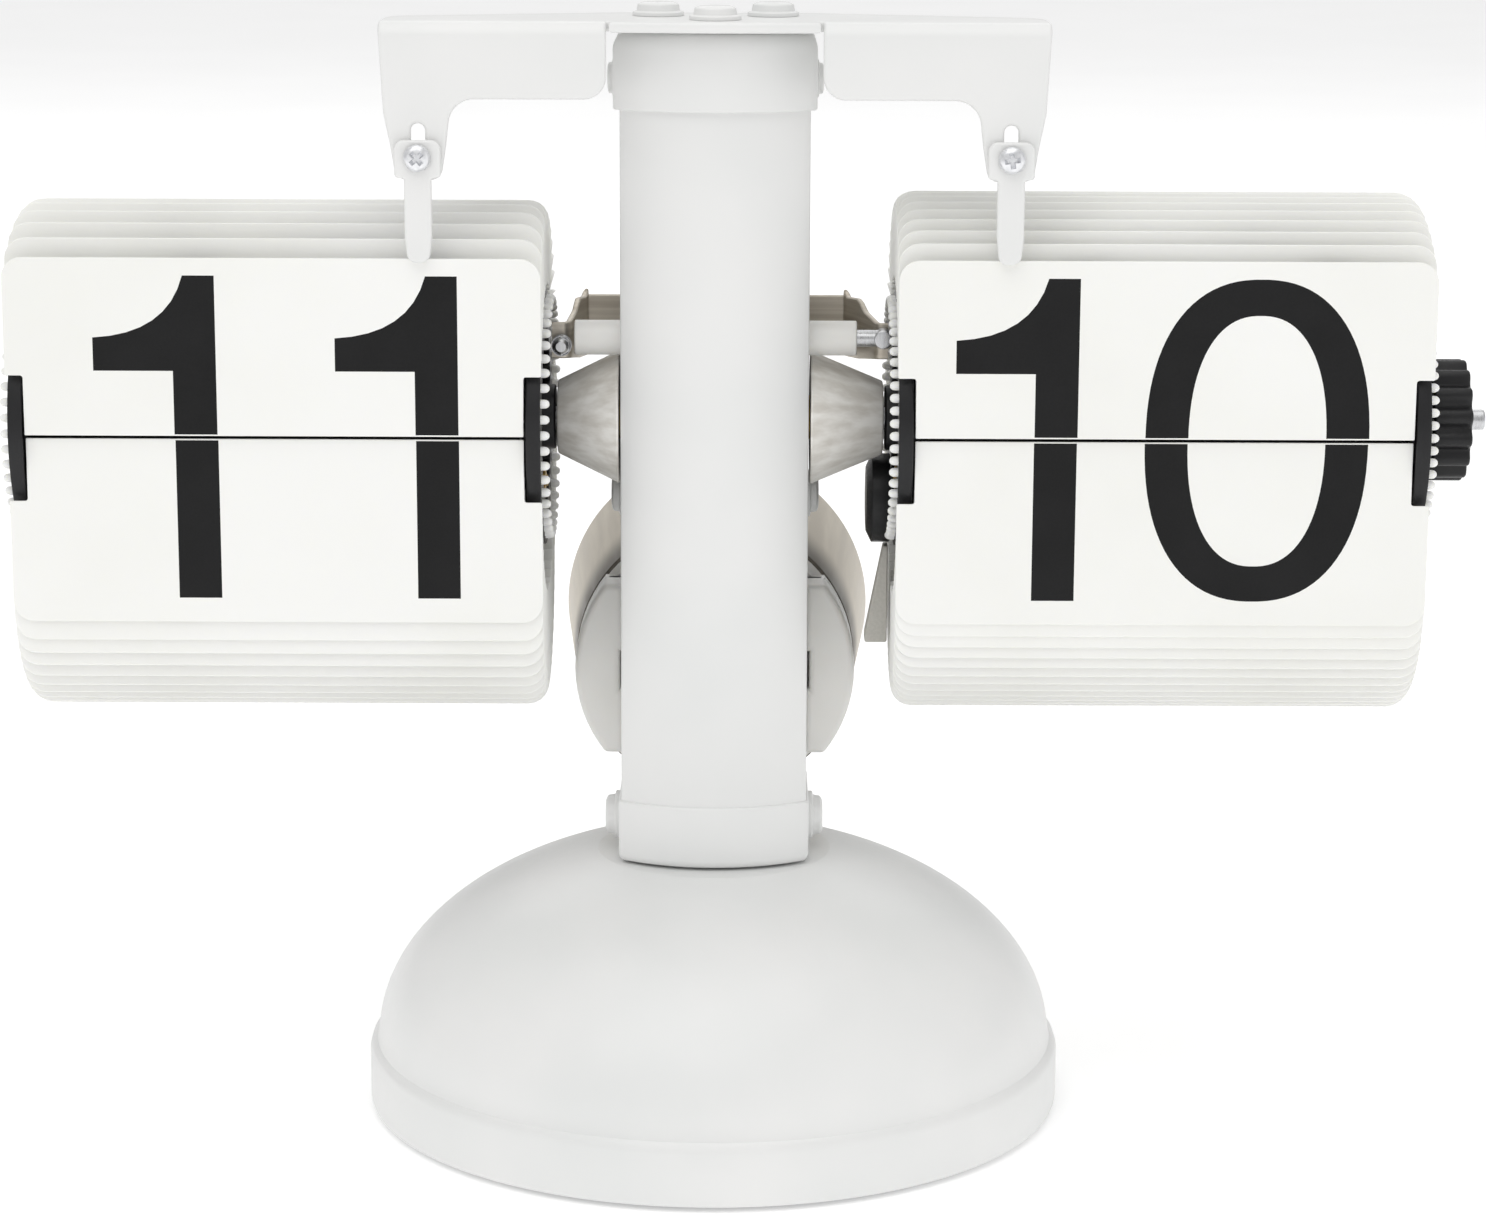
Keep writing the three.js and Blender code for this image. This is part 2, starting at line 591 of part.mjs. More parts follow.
// A finger in (x, z) about its own centre line, from the arm's top down to the leaf's edge.
function fingerOutline() {
  const headHalf = FINGER_HEAD_WIDTH / 2;
  const stemHalf = FINGER_STEM_WIDTH / 2;
  const headBottom = -FINGER_HEAD_TOP - FINGER_HEAD_HEIGHT;
  const tip = -ARM_HEADROOM + GAP;
  const shape = new THREE.Shape();
  shape.moveTo(stemHalf, headBottom);
  shape.quadraticCurveTo(headHalf, headBottom, headHalf, headBottom + FINGER_HEAD_ROUND);
  shape.lineTo(headHalf, -FINGER_HEAD_TOP - FINGER_HEAD_ROUND);
  shape.quadraticCurveTo(headHalf, -FINGER_HEAD_TOP, headHalf - FINGER_HEAD_ROUND, -FINGER_HEAD_TOP);
  shape.lineTo(FINGER_HEAD_ROUND - headHalf, -FINGER_HEAD_TOP);
  shape.quadraticCurveTo(-headHalf, -FINGER_HEAD_TOP, -headHalf, -FINGER_HEAD_TOP - FINGER_HEAD_ROUND);
  shape.lineTo(-headHalf, headBottom + FINGER_HEAD_ROUND);
  shape.quadraticCurveTo(-headHalf, headBottom, -stemHalf, headBottom);
  shape.absarc(0, tip + stemHalf, stemHalf, Math.PI, 2 * Math.PI);
  shape.lineTo(stemHalf, headBottom);
  return shape;
}

function makeFinger(label, side) {
  const finger = new THREE.Group();
  const shape = fingerOutline();
  shape.holes.push(circle(SCREW.shank + HOLE_CLEARANCE, 0, -FINGER_SCREW_DROP));
  const blade = plateY(shape, FINGER_FACE_FRONT, FINGER_FACE_BACK, 6);
  finger.add(piece(`${label}_finger`, blade, whitePaint));

  const underHead = FINGER_FACE_FRONT - GAP;
  const screw = turnedY([
    [underHead - SCREW.headHeight, 0],
    [underHead - SCREW.headHeight, SCREW.crown],
    [underHead - SCREW.headHeight / 2, SCREW.head],
    [underHead, SCREW.head],
    [underHead, SCREW.shank],
    [underHead + SCREW.length, SCREW.shank],
    [underHead + SCREW.length, 0],
  ], SEGMENTS.small);
  const screwMesh = piece(`${label}_finger_screw`, screw, brightSteel);
  finger.add(placed(screwMesh, 0, 0, -FINGER_SCREW_DROP));
  return placed(finger, side * LEG.x, 0, ARM_TOP);
}

// ---- Leaves ----------------------------------------------------------------------------

// One leaf in (x, distance from its hinge line), notched at both ends of its hinged edge.
function leafOutline(lip, corner) {
  const half = LEAF_WIDTH / 2;
  const neck = half - NOTCH_WIDTH;
  const shape = new THREE.Shape();
  shape.moveTo(-neck, -lip);
  shape.lineTo(neck, -lip);
  shape.lineTo(neck, NOTCH_HEIGHT);
  shape.lineTo(half, NOTCH_HEIGHT);
  shape.lineTo(half, LEAF_REACH - corner);
  if (corner > 0) shape.absarc(half - corner, LEAF_REACH - corner, corner, 0, Math.PI / 2);
  shape.lineTo(corner - half, LEAF_REACH);
  if (corner > 0) {
    shape.absarc(corner - half, LEAF_REACH - corner, corner, Math.PI / 2, Math.PI);
  }
  shape.lineTo(-half, NOTCH_HEIGHT);
  shape.lineTo(-neck, NOTCH_HEIGHT);
  return shape;
}

// How far a leaf leans back from upright when its hinge has turned by an angle from the front.
const leanAt = (degrees) => Math.min(180, FAN_LEAN * (degrees - FAN_LAG));

// A band of the pin circle between two angles, where the hinged edges lie side by side.
function rootBand(from, to) {
  const start = THREE.MathUtils.degToRad(180 - to);
  const end = THREE.MathUtils.degToRad(180 - from);
  const inner = PIN_CIRCLE - ROOT_DEPTH;
  const outer = PIN_CIRCLE - EXTRA_ROOM;
  const band = new THREE.Shape();
  band.absarc(0, 0, outer, start, end);
  band.absarc(0, 0, inner, end, start, true);
  const half = LEAF_WIDTH / 2 - NOTCH_WIDTH;
  return plateX(band, -half, half, SEGMENTS.band);
}

// Leaves whose hinges lie between two angles, joined along their hinged edges.
function leafPack(pitch, first, last) {
  const outline = leafOutline(LEAF_LIP, 0);
  const leaves = [];
  for (let turn = first; turn <= last; turn += pitch) {
    const angle = THREE.MathUtils.degToRad(turn);
    const leaf = plateY(outline, -LEAF_THICKNESS / 2, LEAF_THICKNESS / 2, 1);
    leaf.rotateX(-THREE.MathUtils.degToRad(leanAt(turn)));
    leaves.push(leaf.translate(0, -PIN_CIRCLE * Math.cos(angle), PIN_CIRCLE * Math.sin(angle)));
  }
  return joined(rootBand(first - ROOT_MARGIN, last + ROOT_MARGIN), ...leaves);
}

function frontLeaf(thickness, lip) {
  return plateY(leafOutline(lip, LEAF_CORNER), -thickness / 2, thickness / 2, 4);
}

// The leaves of one display about the middle of its drum.
function makeLeaves(label, { leaves }) {
  const group = new THREE.Group();
  const pitch = 360 / leaves;
  const fanLast = pitch * Math.floor(FAN_END / pitch);
  const stackFirst = fanLast + pitch;
  const stackLast = 360 - pitch * Math.ceil(STACK_ROOM / pitch);
  group.add(piece(`${label}_leaf_fan`, leafPack(pitch, pitch, fanLast), leafPlastic));
  group.add(piece(`${label}_leaf_stack`, leafPack(pitch, stackFirst, stackLast), leafPlastic));

  const falling = piece(`${label}_leaf`, frontLeaf(FRONT_LEAF_THICKNESS, LEAF_LIP), leafPlastic);
  group.add(placed(falling, 0, FRONT_HINGE_Y, FRONT_HINGE_RISE));

  const fallen = piece(`${label}_lower_leaf`, frontLeaf(LEAF_THICKNESS, 0), leafPlastic);
  fallen.rotation.x = Math.PI;
  const behind = FRONT_HINGE_Y + (FRONT_LEAF_THICKNESS + LEAF_THICKNESS) / 2 + GAP;
  group.add(placed(fallen, 0, behind, FRONT_HINGE_RISE - LEAF_LIP - GAP));
  return group;
}

// ---- Drums and drive -------------------------------------------------------------------

// Teeth as a closed outline of tip and root flats about the centre.
function toothOutline(teeth, tip, root, phase, Target) {
  const pitch = (2 * Math.PI) / teeth;
  const corners = [
    [-TOOTH_ROOT, root],
    [-TOOTH_TIP, tip],
    [TOOTH_TIP, tip],
    [TOOTH_ROOT, root],
  ];
  const points = [];
  for (let tooth = 0; tooth < teeth; tooth++) {
    for (const [share, radius] of corners) {
      const angle = phase + pitch * (tooth + share);
      points.push(new THREE.Vector2(radius * Math.cos(angle), radius * Math.sin(angle)));
    }
  }
  return new Target(points);
}

function ringGear(teeth, inboard, outboard) {
  const pitchRadius = teeth * GEAR_MODULE / 2;
  const halfTooth = Math.PI / teeth;
  const disc = circle(DISC_RADIUS);
  const hole = toothOutline(teeth, pitchRadius - ADDENDUM, pitchRadius + DEDENDUM,
    PINION_ANGLE + halfTooth, THREE.Path);
  disc.holes.push(hole);
  return plateX(disc, inboard, outboard, SEGMENTS.drum / 2);
}

function pinionGeometry(teeth, inboard, outboard, shaftStart, shaftEnd) {
  const pitchRadius = teeth * GEAR_MODULE / 2;
  const outline = toothOutline(teeth, pitchRadius + ADDENDUM, pitchRadius - DEDENDUM,
    PINION_ANGLE, THREE.Shape);
  return joined(
    plateX(outline, inboard, outboard, 1),
    turnedX(rod(shaftStart, shaftEnd, PINION_SHAFT), SEGMENTS.tiny),
  );
}

// The turning pieces of one display, with x growing away from the column.
function drumPieces(label, size) {
  const tubeProfile = tube(INNER_DISC[1] + GAP, OUTER_DISC[0] - GAP, TUBE_RADIUS - TUBE_WALL,
    TUBE_RADIUS);
  const outer = tube(OUTER_DISC[0], OUTER_DISC[1], AXLE_HOLE, DISC_RADIUS);
  return [
    [`${label}_ring_gear`, ringGear(size.ringTeeth, ...INNER_DISC), blackPlastic],
    [`${label}_drum_tube`, turnedX(tubeProfile, SEGMENTS.drum), blackPlastic],
    [`${label}_outer_disc`, turnedX(outer, SEGMENTS.drum), blackPlastic],
  ];
}

// The fixed gear case inside a drum, with its neck towards the column and a pinion bore.
function caseGeometry({ caseLength }) {
  const caseStart = INNER_DISC[1] + GAP + EXTRA_ROOM;
  const neckStart = SLEEVE_REACH + GAP;
  const caseEnd = caseStart + caseLength;
  const body = turnedX([
    [neckStart, AXLE_HOLE],
    [neckStart, NECK_OF_CASE_RADIUS],
    [caseStart, NECK_OF_CASE_RADIUS],
    [caseStart, CASE_RADIUS],
    [caseEnd, CASE_RADIUS],
    [caseEnd, AXLE_HOLE],
    [neckStart, AXLE_HOLE],
  ], SEGMENTS.medium);
  const boreEnd = caseStart + PINION_DEPTH_IN_CASE + GAP;
  const bore = turnedX(rod(caseStart - OVERLAP, boreEnd, PINION_SHAFT + HOLE_CLEARANCE), SEGMENTS.tiny);
  return cut(body, bore.translate(0, PINION_Y, PINION_Z));
}

// A right-hand piece, or its mirror image for the left side.
const toSide = (geometry, side) => (side > 0 ? geometry : mirrorX(geometry));

// Mirrors a geometry in x and turns its faces round again.
function mirrorX(geometry) {
  const flat = geometry.index ? geometry.toNonIndexed() : geometry.clone();
  flat.deleteAttribute('uv');
  flat.deleteAttribute('normal');
  const { array } = flat.attributes.position;
  const corner = 9;
  for (let start = 0; start < array.length; start += corner) {
    for (let axis = 0; axis < 3; axis++) {
      const flip = axis === 0 ? -1 : 1;
      array[start + axis] *= flip;
      const second = array[start + 3 + axis] * flip;
      array[start + 3 + axis] = array[start + 6 + axis] * flip;
      array[start + 6 + axis] = second;
    }
  }
  flat.computeVertexNormals();
  return flat;
}

function knobOutline() {
  const points = [];
  const perRib = 4;
  for (let step = 0; step < KNOB_RIBS * perRib; step++) {
    const angle = (2 * Math.PI * step) / (KNOB_RIBS * perRib);
    const wave = (1 - Math.cos(KNOB_RIBS * angle)) / 2;
    const radius = KNOB_RADIUS - KNOB_GROOVE * wave * wave;
    points.push(new THREE.Vector2(radius * Math.cos(angle), radius * Math.sin(angle)));
  }
  return new THREE.Shape(points);
}

function makeDisplay(label, side, size) {
  const display = new THREE.Group();
  const shifted = new THREE.Group();
  shifted.position.x = DISPLAY_SHIFT;
  display.add(shifted);
  for (const [name, geometry, material] of drumPieces(label, size)) {
    shifted.add(piece(name, toSide(geometry, side), material));
  }
  const leaves = makeLeaves(label, size);
  leaves.position.x = side * (LEAF_START + LEAF_END) / 2;
  shifted.add(leaves);

  const inboard = INNER_DISC[0] + GAP;
  const outboard = INNER_DISC[1] - GAP;
  const shaftEnd = INNER_DISC[1] + GAP + PINION_DEPTH_IN_CASE;
  const pinion = pinionGeometry(size.pinionTeeth, inboard, outboard, INNER_DISC[0], shaftEnd);
  const pinionName = label === 'minute' ? 'motor_pinion' : 'hour_pinion';
  const pinionMesh = piece(pinionName, toSide(pinion, side), brassMetal);
  shifted.add(placed(pinionMesh, 0, PINION_Y, PINION_Z));

  const caseName = label === 'minute' ? 'minute_movement' : 'hour_gearbox';
  shifted.add(piece(caseName, toSide(caseGeometry(size), side), blackPlastic));

  const sleeveEnd = SLEEVE_REACH + side * DISPLAY_SHIFT;
  const sleeve = turnedX([
    [SLEEVE_START, BUSH_HOLE],
    [SLEEVE_START, SLEEVE_WIDE],
    [sleeveEnd, SLEEVE_NARROW],
    [sleeveEnd, BUSH_HOLE],
    [SLEEVE_START, BUSH_HOLE],
  ], SEGMENTS.medium);
  display.add(piece(`${label}_axle_sleeve`, toSide(sleeve, side), warmSteel));

  const bush = tube(SLEEVE_START - BUSH_INBOARD, sleeveEnd, AXLE_HOLE, BUSH_RADIUS);
  display.add(piece(`${label}_bush`, toSide(turnedX(bush, SEGMENTS.small), side), brassMetal));
  return placed(display, 0, 0, AXIS_HEIGHT);
}

function makeAxles() {
  const axles = new THREE.Group();
  const meeting = -(INNER_DISC[1] + HOURS.caseLength / 2);
  const axleEnd = LEAF_END + AXLE_END;
  const minuteAxle = turnedX(rod(meeting, axleEnd, AXLE_RADIUS), SEGMENTS.small);
  axles.add(piece('minute_axle', minuteAxle, brightSteel));
  const hourAxle = turnedX(
    rod(-OUTER_DISC[1] - HOUR_AXLE_END, meeting - GAP, AXLE_RADIUS), SEGMENTS.small);
  axles.add(piece('hour_axle', hourAxle, brightSteel));

  const knobShape = knobOutline();
  knobShape.holes.push(circle(AXLE_HOLE));
  const knobEnd = axleEnd - KNOB_SETBACK;
  const knob = plateX(knobShape, knobEnd - KNOB_LENGTH, knobEnd, SEGMENTS.small / 2);
  axles.add(piece('set_knob', knob, blackPlastic));
  return placed(axles, DISPLAY_SHIFT, 0, AXIS_HEIGHT);
}

// ---- Spacer, tie rod and saddle bracket --------------------------------------------------

// A bent sheet in plan that follows a path, with square mitres at its bends.
function bentStrip(path, thickness) {
  const half = thickness / 2;
  const offsets = path.map((point, index) => {
    const before = path[Math.max(index - 1, 0)];
    const after = path[Math.min(index + 1, path.length - 1)];
    const into = new THREE.Vector2(point[0] - before[0], point[1] - before[1]).normalize();
    const out = new THREE.Vector2(after[0] - point[0], after[1] - point[1]).normalize();
    const along = into.add(out).normalize();
    const straight = out.lengthSq() > 0 ? Math.abs(along.dot(out)) : 1;
    return [-along.y * half / straight, along.x * half / straight];
  });
  const left = path.map(([x, y], index) => [x + offsets[index][0], y + offsets[index][1]]);
  const right = path.map(([x, y], index) => [x - offsets[index][0], y - offsets[index][1]]);
  return polygon([...right, ...left.reverse()]);
}

function saddleGeometry() {
  const back = COLUMN_BACK + GAP + BRACKET_SHEET / 2;
  const bendX = BRACKET_HALF_WIDTH + BRACKET_FLARE;
  const strip = bentStrip([
    [-bendX - BRACKET_TAB.left, BRACKET_FRONT],
    [-bendX, BRACKET_FRONT],
    [-BRACKET_HALF_WIDTH, back],
    [BRACKET_HALF_WIDTH, back],
    [bendX, BRACKET_FRONT],
    [bendX + BRACKET_TAB.right, BRACKET_FRONT],
  ], BRACKET_SHEET);
  const margin = BRACKET_CUT_MARGIN;
  const front = BRACKET_FRONT - margin;
  const wingSlope = polygon([
    [front, BRACKET_TOP - BRACKET_SLOPE],
    [COLUMN_BACK, BRACKET_TOP],
    [COLUMN_BACK, BRACKET_TOP + margin],
    [front, BRACKET_TOP + margin],
  ]);
  const wide = LEAF_START;
  const between = BRACKET_HALF_WIDTH - BRACKET_SHEET;
  const tipLevel = polygon([
    [0, BRACKET_TOP],
    [back + margin, BRACKET_TOP],
    [back + margin, BRACKET_TOP + margin],
    [0, BRACKET_TOP + margin],
  ]);
  const studHole = turnedY(
    rod(front, BRACKET_FRONT + margin, BRACKET_STUD_RADIUS + HOLE_CLEARANCE), SEGMENTS.tiny);
  return cut(
    plateZ(strip, BRACKET_BOTTOM, BRACKET_TOP + BRACKET_TIP, 1),
    plateX(wingSlope, -wide, wide, 1),
    plateX(tipLevel, -between, between, 1),
    studHole.translate(-STUD_X, 0, STUD_Z),
  );
}

function makeRearSupport() {
  const group = new THREE.Group();
  group.add(piece('saddle_bracket', saddleGeometry(), warmSteel));

  const spacerLeft = -COLUMN_SIDE - SPACER.left;
  const spacerRight = COLUMN_SIDE + SPACER.right;
  const spacer = turnedX(tube(spacerLeft, spacerRight, SPACER.bore, SPACER.radius),
    SEGMENTS.medium / 2 + 4);
  group.add(placed(piece('spacer_tube', spacer, whitePlastic), 0, SPACER.y, SPACER.z));

  const pinX = LEAF_START + DISPLAY_SHIFT - TIE_ROD_RADIUS - GAP;
  const eye = turnedY(
    rod(-TIE_ROD_RADIUS - TIE_EYE_PROUD, TIE_ROD_RADIUS, TIE_ROD_RADIUS), SEGMENTS.small);
  const tie = joined(
    turnedX(rod(spacerLeft, pinX, TIE_ROD_RADIUS - TIE_ROD_STEP), SEGMENTS.small),
    eye.translate(pinX, 0, 0),
  );
  group.add(placed(piece('tie_rod', tie, brightSteel), 0, SPACER.y, SPACER.z));

  const nutBack = BRACKET_FRONT - BRACKET_SHEET / 2 - GAP;
  const nutFront = nutBack - BRACKET_NUT_HEIGHT;
  const nutBore = BRACKET_STUD_RADIUS + HOLE_CLEARANCE / 2;
  const nut = turnedY(tube(nutFront, nutBack, nutBore, BRACKET_NUT_RADIUS), 6);
  group.add(placed(piece('bracket_nut', nut, brightSteel), -STUD_X, 0, STUD_Z));
  const stud = turnedY(rod(nutFront - BRACKET_STUD_PROUD, BRACKET_FRONT + BRACKET_SHEET / 2,
    BRACKET_STUD_RADIUS), SEGMENTS.small);
  group.add(placed(piece('bracket_stud', stud, brightSteel), -STUD_X, 0, STUD_Z));
  return placed(group, 0, 0, AXIS_HEIGHT);
}

// ---- Motor housing and guide plate -----------------------------------------------------

function makeMotorSide() {
  const group = new THREE.Group();
  const right = INNER_DISC[0] - GAP - EXTRA_ROOM;
  const left = right - MOTOR.thickness;
  const housing = turnedX([
    [left, 0],
    [left, MOTOR.radius - 2 * MOTOR.chamfer],
    [left + MOTOR.chamfer, MOTOR.radius],
    [right, MOTOR.radius],
    [right, 0],
  ], SEGMENTS.small);
  group.add(placed(piece('motor_housing', housing, blackPlastic), 0, MOTOR.y, MOTOR.z));

  const top = MOTOR.z - MOTOR.radius - GAP;
  const outside = left + GUIDE.width;
  const guide = polygon([
    [left, top - GUIDE.height],
    [outside, top - GUIDE.height],
    [outside, top],
    [left + GUIDE.step, top],
    [left, top - GUIDE.height + GUIDE.lower],
  ]);
  group.add(piece('guide_plate', plateY(guide, GUIDE.front, GUIDE.back, 1), creamPlastic));
  return placed(group, DISPLAY_SHIFT, 0, AXIS_HEIGHT);
}

// ---- Battery ---------------------------------------------------------------------------

// A disc seen from the front, cut flat at the top and the bottom.
function flattenedDisc(radius, halfHeight) {
  const angle = Math.asin(halfHeight / radius);
  const shape = new THREE.Shape();
  shape.absarc(0, 0, radius, -angle, angle);
  shape.absarc(0, 0, radius, Math.PI - angle, Math.PI + angle);
  return shape;
}

function makeBattery() {
  const group = new THREE.Group();
  const columnSpace = plateZ(columnSection(GAP), -BATTERY_HEIGHT, BATTERY_HEIGHT, SEGMENTS.small);
  const holder = joined(
    cut(
      plateY(flattenedDisc(HOLDER_RADIUS, HOLDER_HALF_HEIGHT), HOLDER_GRIP, HOLDER_BACK,
        SEGMENTS.medium / 2),
      columnSpace,
    ),
    turnedY(tube(HOLDER_BACK - OVERLAP, HOLDER_BACK + LINER_LENGTH, LINER_BORE, LINER_RADIUS),
      SEGMENTS.medium),
    turnedY(rod(HOLDER_BACK - OVERLAP, HOLDER_BACK, LINER_RADIUS), SEGMENTS.medium),
  );
  group.add(piece('battery_holder', holder, whitePlastic));

  const sleeveFront = HOLDER_BACK + GAP;
  const sleeve = turnedY([
    [sleeveFront, SLEEVE_FRONT_RADIUS - STEEL_SHEET],
    [sleeveFront, SLEEVE_FRONT_RADIUS],
    [RIM_Y, RIM_RADIUS],
    [RIM_Y, RIM_RADIUS - STEEL_SHEET],
    [sleeveFront, SLEEVE_FRONT_RADIUS - STEEL_SHEET],
  ], SEGMENTS.drum);
  group.add(piece('battery_sleeve', sleeve, warmSteel));

  const contact = rod(CONTACT_Y, CONTACT_Y + CONTACT_THICKNESS, CONTACT_RADIUS);
  group.add(piece('battery_contact', turnedY(contact, SEGMENTS.small), brassMetal));

  const shoulder = CELL_Y + CELL_NUB_HEIGHT;
  const cell = turnedY([
    [CELL_Y, 0],
    [CELL_Y, CELL_NUB_RADIUS],
    [shoulder, CELL_NUB_RADIUS],
    [shoulder, CELL_RADIUS],
    [CELL_BACK, CELL_RADIUS],
    [CELL_BACK, 0],
  ], SEGMENTS.medium);
  group.add(piece('battery_cell', cell, cellLabel));

  group.add(piece('battery_spring', springGeometry(), brightSteel));

  const skirt = LINER_RADIUS + (RIM_Y - sleeveFront) * LINER_FLARE;
  const capLip = RIM_Y + GAP;
  const inside = CELL_RADIUS + GAP;
  const cap = turnedY([
    [capLip - CAP_SPIGOT, skirt - CAP_SHELL],
    [capLip - CAP_SPIGOT, skirt],
    [capLip, skirt],
    [capLip, RIM_RADIUS - GAP],
    [capLip + CAP_FLANGE, RIM_RADIUS - GAP],
    [CAP_FLOOR - CAP_CHAMFER, inside + CAP_SHELL + CAP_CHAMFER / 2],
    [CAP_FLOOR + CAP_SHELL, inside],
    [CAP_FLOOR + CAP_SHELL, 0],
    [CAP_FLOOR, 0],
    [CAP_FLOOR, inside],
    [capLip + OVERLAP, skirt - CAP_SHELL],
    [capLip - CAP_SPIGOT, skirt - CAP_SHELL],
  ], SEGMENTS.drum);
  group.add(piece('battery_cap', cap, whitePlastic));
  return placed(group, 0, 0, BATTERY_HEIGHT);
}

// A conical coil between the cell and the cap.
function springGeometry() {
  const steps = SPRING_TURNS * SEGMENTS.tiny;
  const points = [];
  for (let step = 0; step <= steps; step++) {
    const share = step / steps;
    const angle = 2 * Math.PI * SPRING_TURNS * share;
    const radius = CELL_NUB_RADIUS + (SPRING_WIDE - CELL_NUB_RADIUS) * share;
    points.push(new THREE.Vector3(
      radius * Math.cos(angle), SPRING_Y + SPRING_LENGTH * share, radius * Math.sin(angle)));
  }
  const wire = circle(SPRING_WIRE);
  return new THREE.ExtrudeGeometry(wire, {
    steps, curveSegments: SEGMENTS.wire, extrudePath: new THREE.CatmullRomCurve3(points),
  });
}

// ---- Assembly --------------------------------------------------------------------------

const clock = new THREE.Group();
clock.add(makeBase());
clock.add(makeColumn());
clock.add(makeArm());
clock.add(makeFinger('hour', -1));
clock.add(makeFinger('minute', 1));
clock.add(makeDisplay('hour', -1, HOURS));
clock.add(makeDisplay('minute', 1, MINUTES));
clock.add(makeAxles());
clock.add(makeRearSupport());
clock.add(makeMotorSide());
clock.add(makeBattery());

export default clock;
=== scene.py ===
"""Flip number clock on a domed pedestal: the finished look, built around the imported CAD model."""
import json
import math
from math import cos, degrees, pi, radians, sin, tan

import bmesh
import bpy
from bpy.props import FloatProperty, FloatVectorProperty, IntProperty, PointerProperty
from mathutils import Matrix, Vector
from mathutils.geometry import delaunay_2d_cdt

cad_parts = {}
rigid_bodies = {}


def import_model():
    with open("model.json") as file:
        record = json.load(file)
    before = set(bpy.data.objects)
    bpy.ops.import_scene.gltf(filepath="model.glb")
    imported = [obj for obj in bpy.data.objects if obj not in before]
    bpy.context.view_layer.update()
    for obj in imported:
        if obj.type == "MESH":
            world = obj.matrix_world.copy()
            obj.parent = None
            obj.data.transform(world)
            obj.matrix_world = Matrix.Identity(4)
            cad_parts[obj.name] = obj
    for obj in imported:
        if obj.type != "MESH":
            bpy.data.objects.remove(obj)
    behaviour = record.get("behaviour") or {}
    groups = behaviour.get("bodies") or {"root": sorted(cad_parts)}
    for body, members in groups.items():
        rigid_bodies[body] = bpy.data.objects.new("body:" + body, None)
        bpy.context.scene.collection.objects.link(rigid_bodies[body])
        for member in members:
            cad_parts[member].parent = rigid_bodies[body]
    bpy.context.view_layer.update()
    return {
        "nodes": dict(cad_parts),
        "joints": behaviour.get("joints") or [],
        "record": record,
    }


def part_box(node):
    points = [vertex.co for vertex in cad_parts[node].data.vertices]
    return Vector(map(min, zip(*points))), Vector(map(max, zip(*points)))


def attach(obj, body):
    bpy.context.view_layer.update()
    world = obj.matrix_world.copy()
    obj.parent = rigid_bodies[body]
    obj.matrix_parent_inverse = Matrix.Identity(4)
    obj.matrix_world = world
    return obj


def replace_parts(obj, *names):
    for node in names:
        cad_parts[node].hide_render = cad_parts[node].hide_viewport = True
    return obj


bl_info = {
    "name": "Flip Number Clock",
    "version": (1, 0, 0),
    "blender": (4, 5, 0),
    "location": "3D View > Sidebar > Flip Clock",
    "description": "Builds a pedestal flip clock piece by piece around its CAD frame",
    "category": "Add Mesh",
}

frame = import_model()

MM = 0.001
BODY_OF = {
    node: body
    for body, nodes in frame["record"]["behaviour"]["bodies"].items()
    for node in nodes
}
SIDES = {"hour": -1, "minute": 1}

# How a plate's own (u, v, w) lies in the object: w is the direction of its thickness.
LAY = {
    "X": lambda u, v, w: (w, u, v),
    "Y": lambda u, v, w: (u, w, v),
    "Z": lambda u, v, w: (u, v, w),
}
SHARP = radians(38)
HOLD = 0.06  # mm from a rounded edge to the line that keeps the face beside it flat
ARC_STEP = 12  # degrees of a rounded corner for each facet


# ---- Places and outlines ---------------------------------------------------------------


def box(node):
    """Lowest and highest corner of a CAD node in millimetres."""
    low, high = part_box(node)
    return low / MM, high / MM


def linear(hex_colour):
    """An sRGB hex colour as linear red, green, blue and alpha."""
    channels = [int(hex_colour[i : i + 2], 16) / 255 for i in (1, 3, 5)]
    return [
        c / 12.92 if c <= 0.04045 else ((c + 0.055) / 1.055) ** 2.4 for c in channels
    ] + [1.0]


def rounded(corners, closed=True, step=ARC_STEP):
    """A path through (a, b, radius) corners, with an arc at each corner that has a radius."""
    path = []
    last = len(corners) - 1
    for index, corner in enumerate(corners):
        here = Vector(corner[:2])
        radius = corner[2] if len(corner) > 2 else 0
        if radius <= 0 or (not closed and index in (0, last)):
            path.append(tuple(here))
            continue
        back = Vector(corners[index - 1][:2]) - here
        ahead = Vector(corners[(index + 1) % len(corners)][:2]) - here
        half = back.angle(ahead) / 2
        reach = min(radius / tan(half), 0.49 * back.length, 0.49 * ahead.length)
        back.normalize()
        ahead.normalize()
        centre = here + (back + ahead).normalized() * (reach / cos(half))
        spoke = here + back * reach - centre
        turn = pi - 2 * half
        side = math.copysign(1, spoke.cross(here + ahead * reach - centre))
        count = max(2, math.ceil(degrees(turn) / step))
        for k in range(count + 1):
            arm = spoke.copy()
            arm.rotate(Matrix.Rotation(side * turn * k / count, 2))
            path.append(tuple(centre + arm))
    return path


def arc(centre, radii, start, end, step=ARC_STEP):
    """Points of an elliptic arc between two angles in degrees."""
    count = max(2, math.ceil(abs(end - start) / step))
    angles = [radians(start + (end - start) * k / count) for k in range(count + 1)]
    return [(centre[0] + radii[0] * cos(a), centre[1] + radii[1] * sin(a)) for a in angles]


def circle(radius, count=32, centre=(0, 0)):
    angles = [2 * pi * k / count for k in range(count)]
    return [(centre[0] + radius * cos(a), centre[1] + radius * sin(a)) for a in angles]


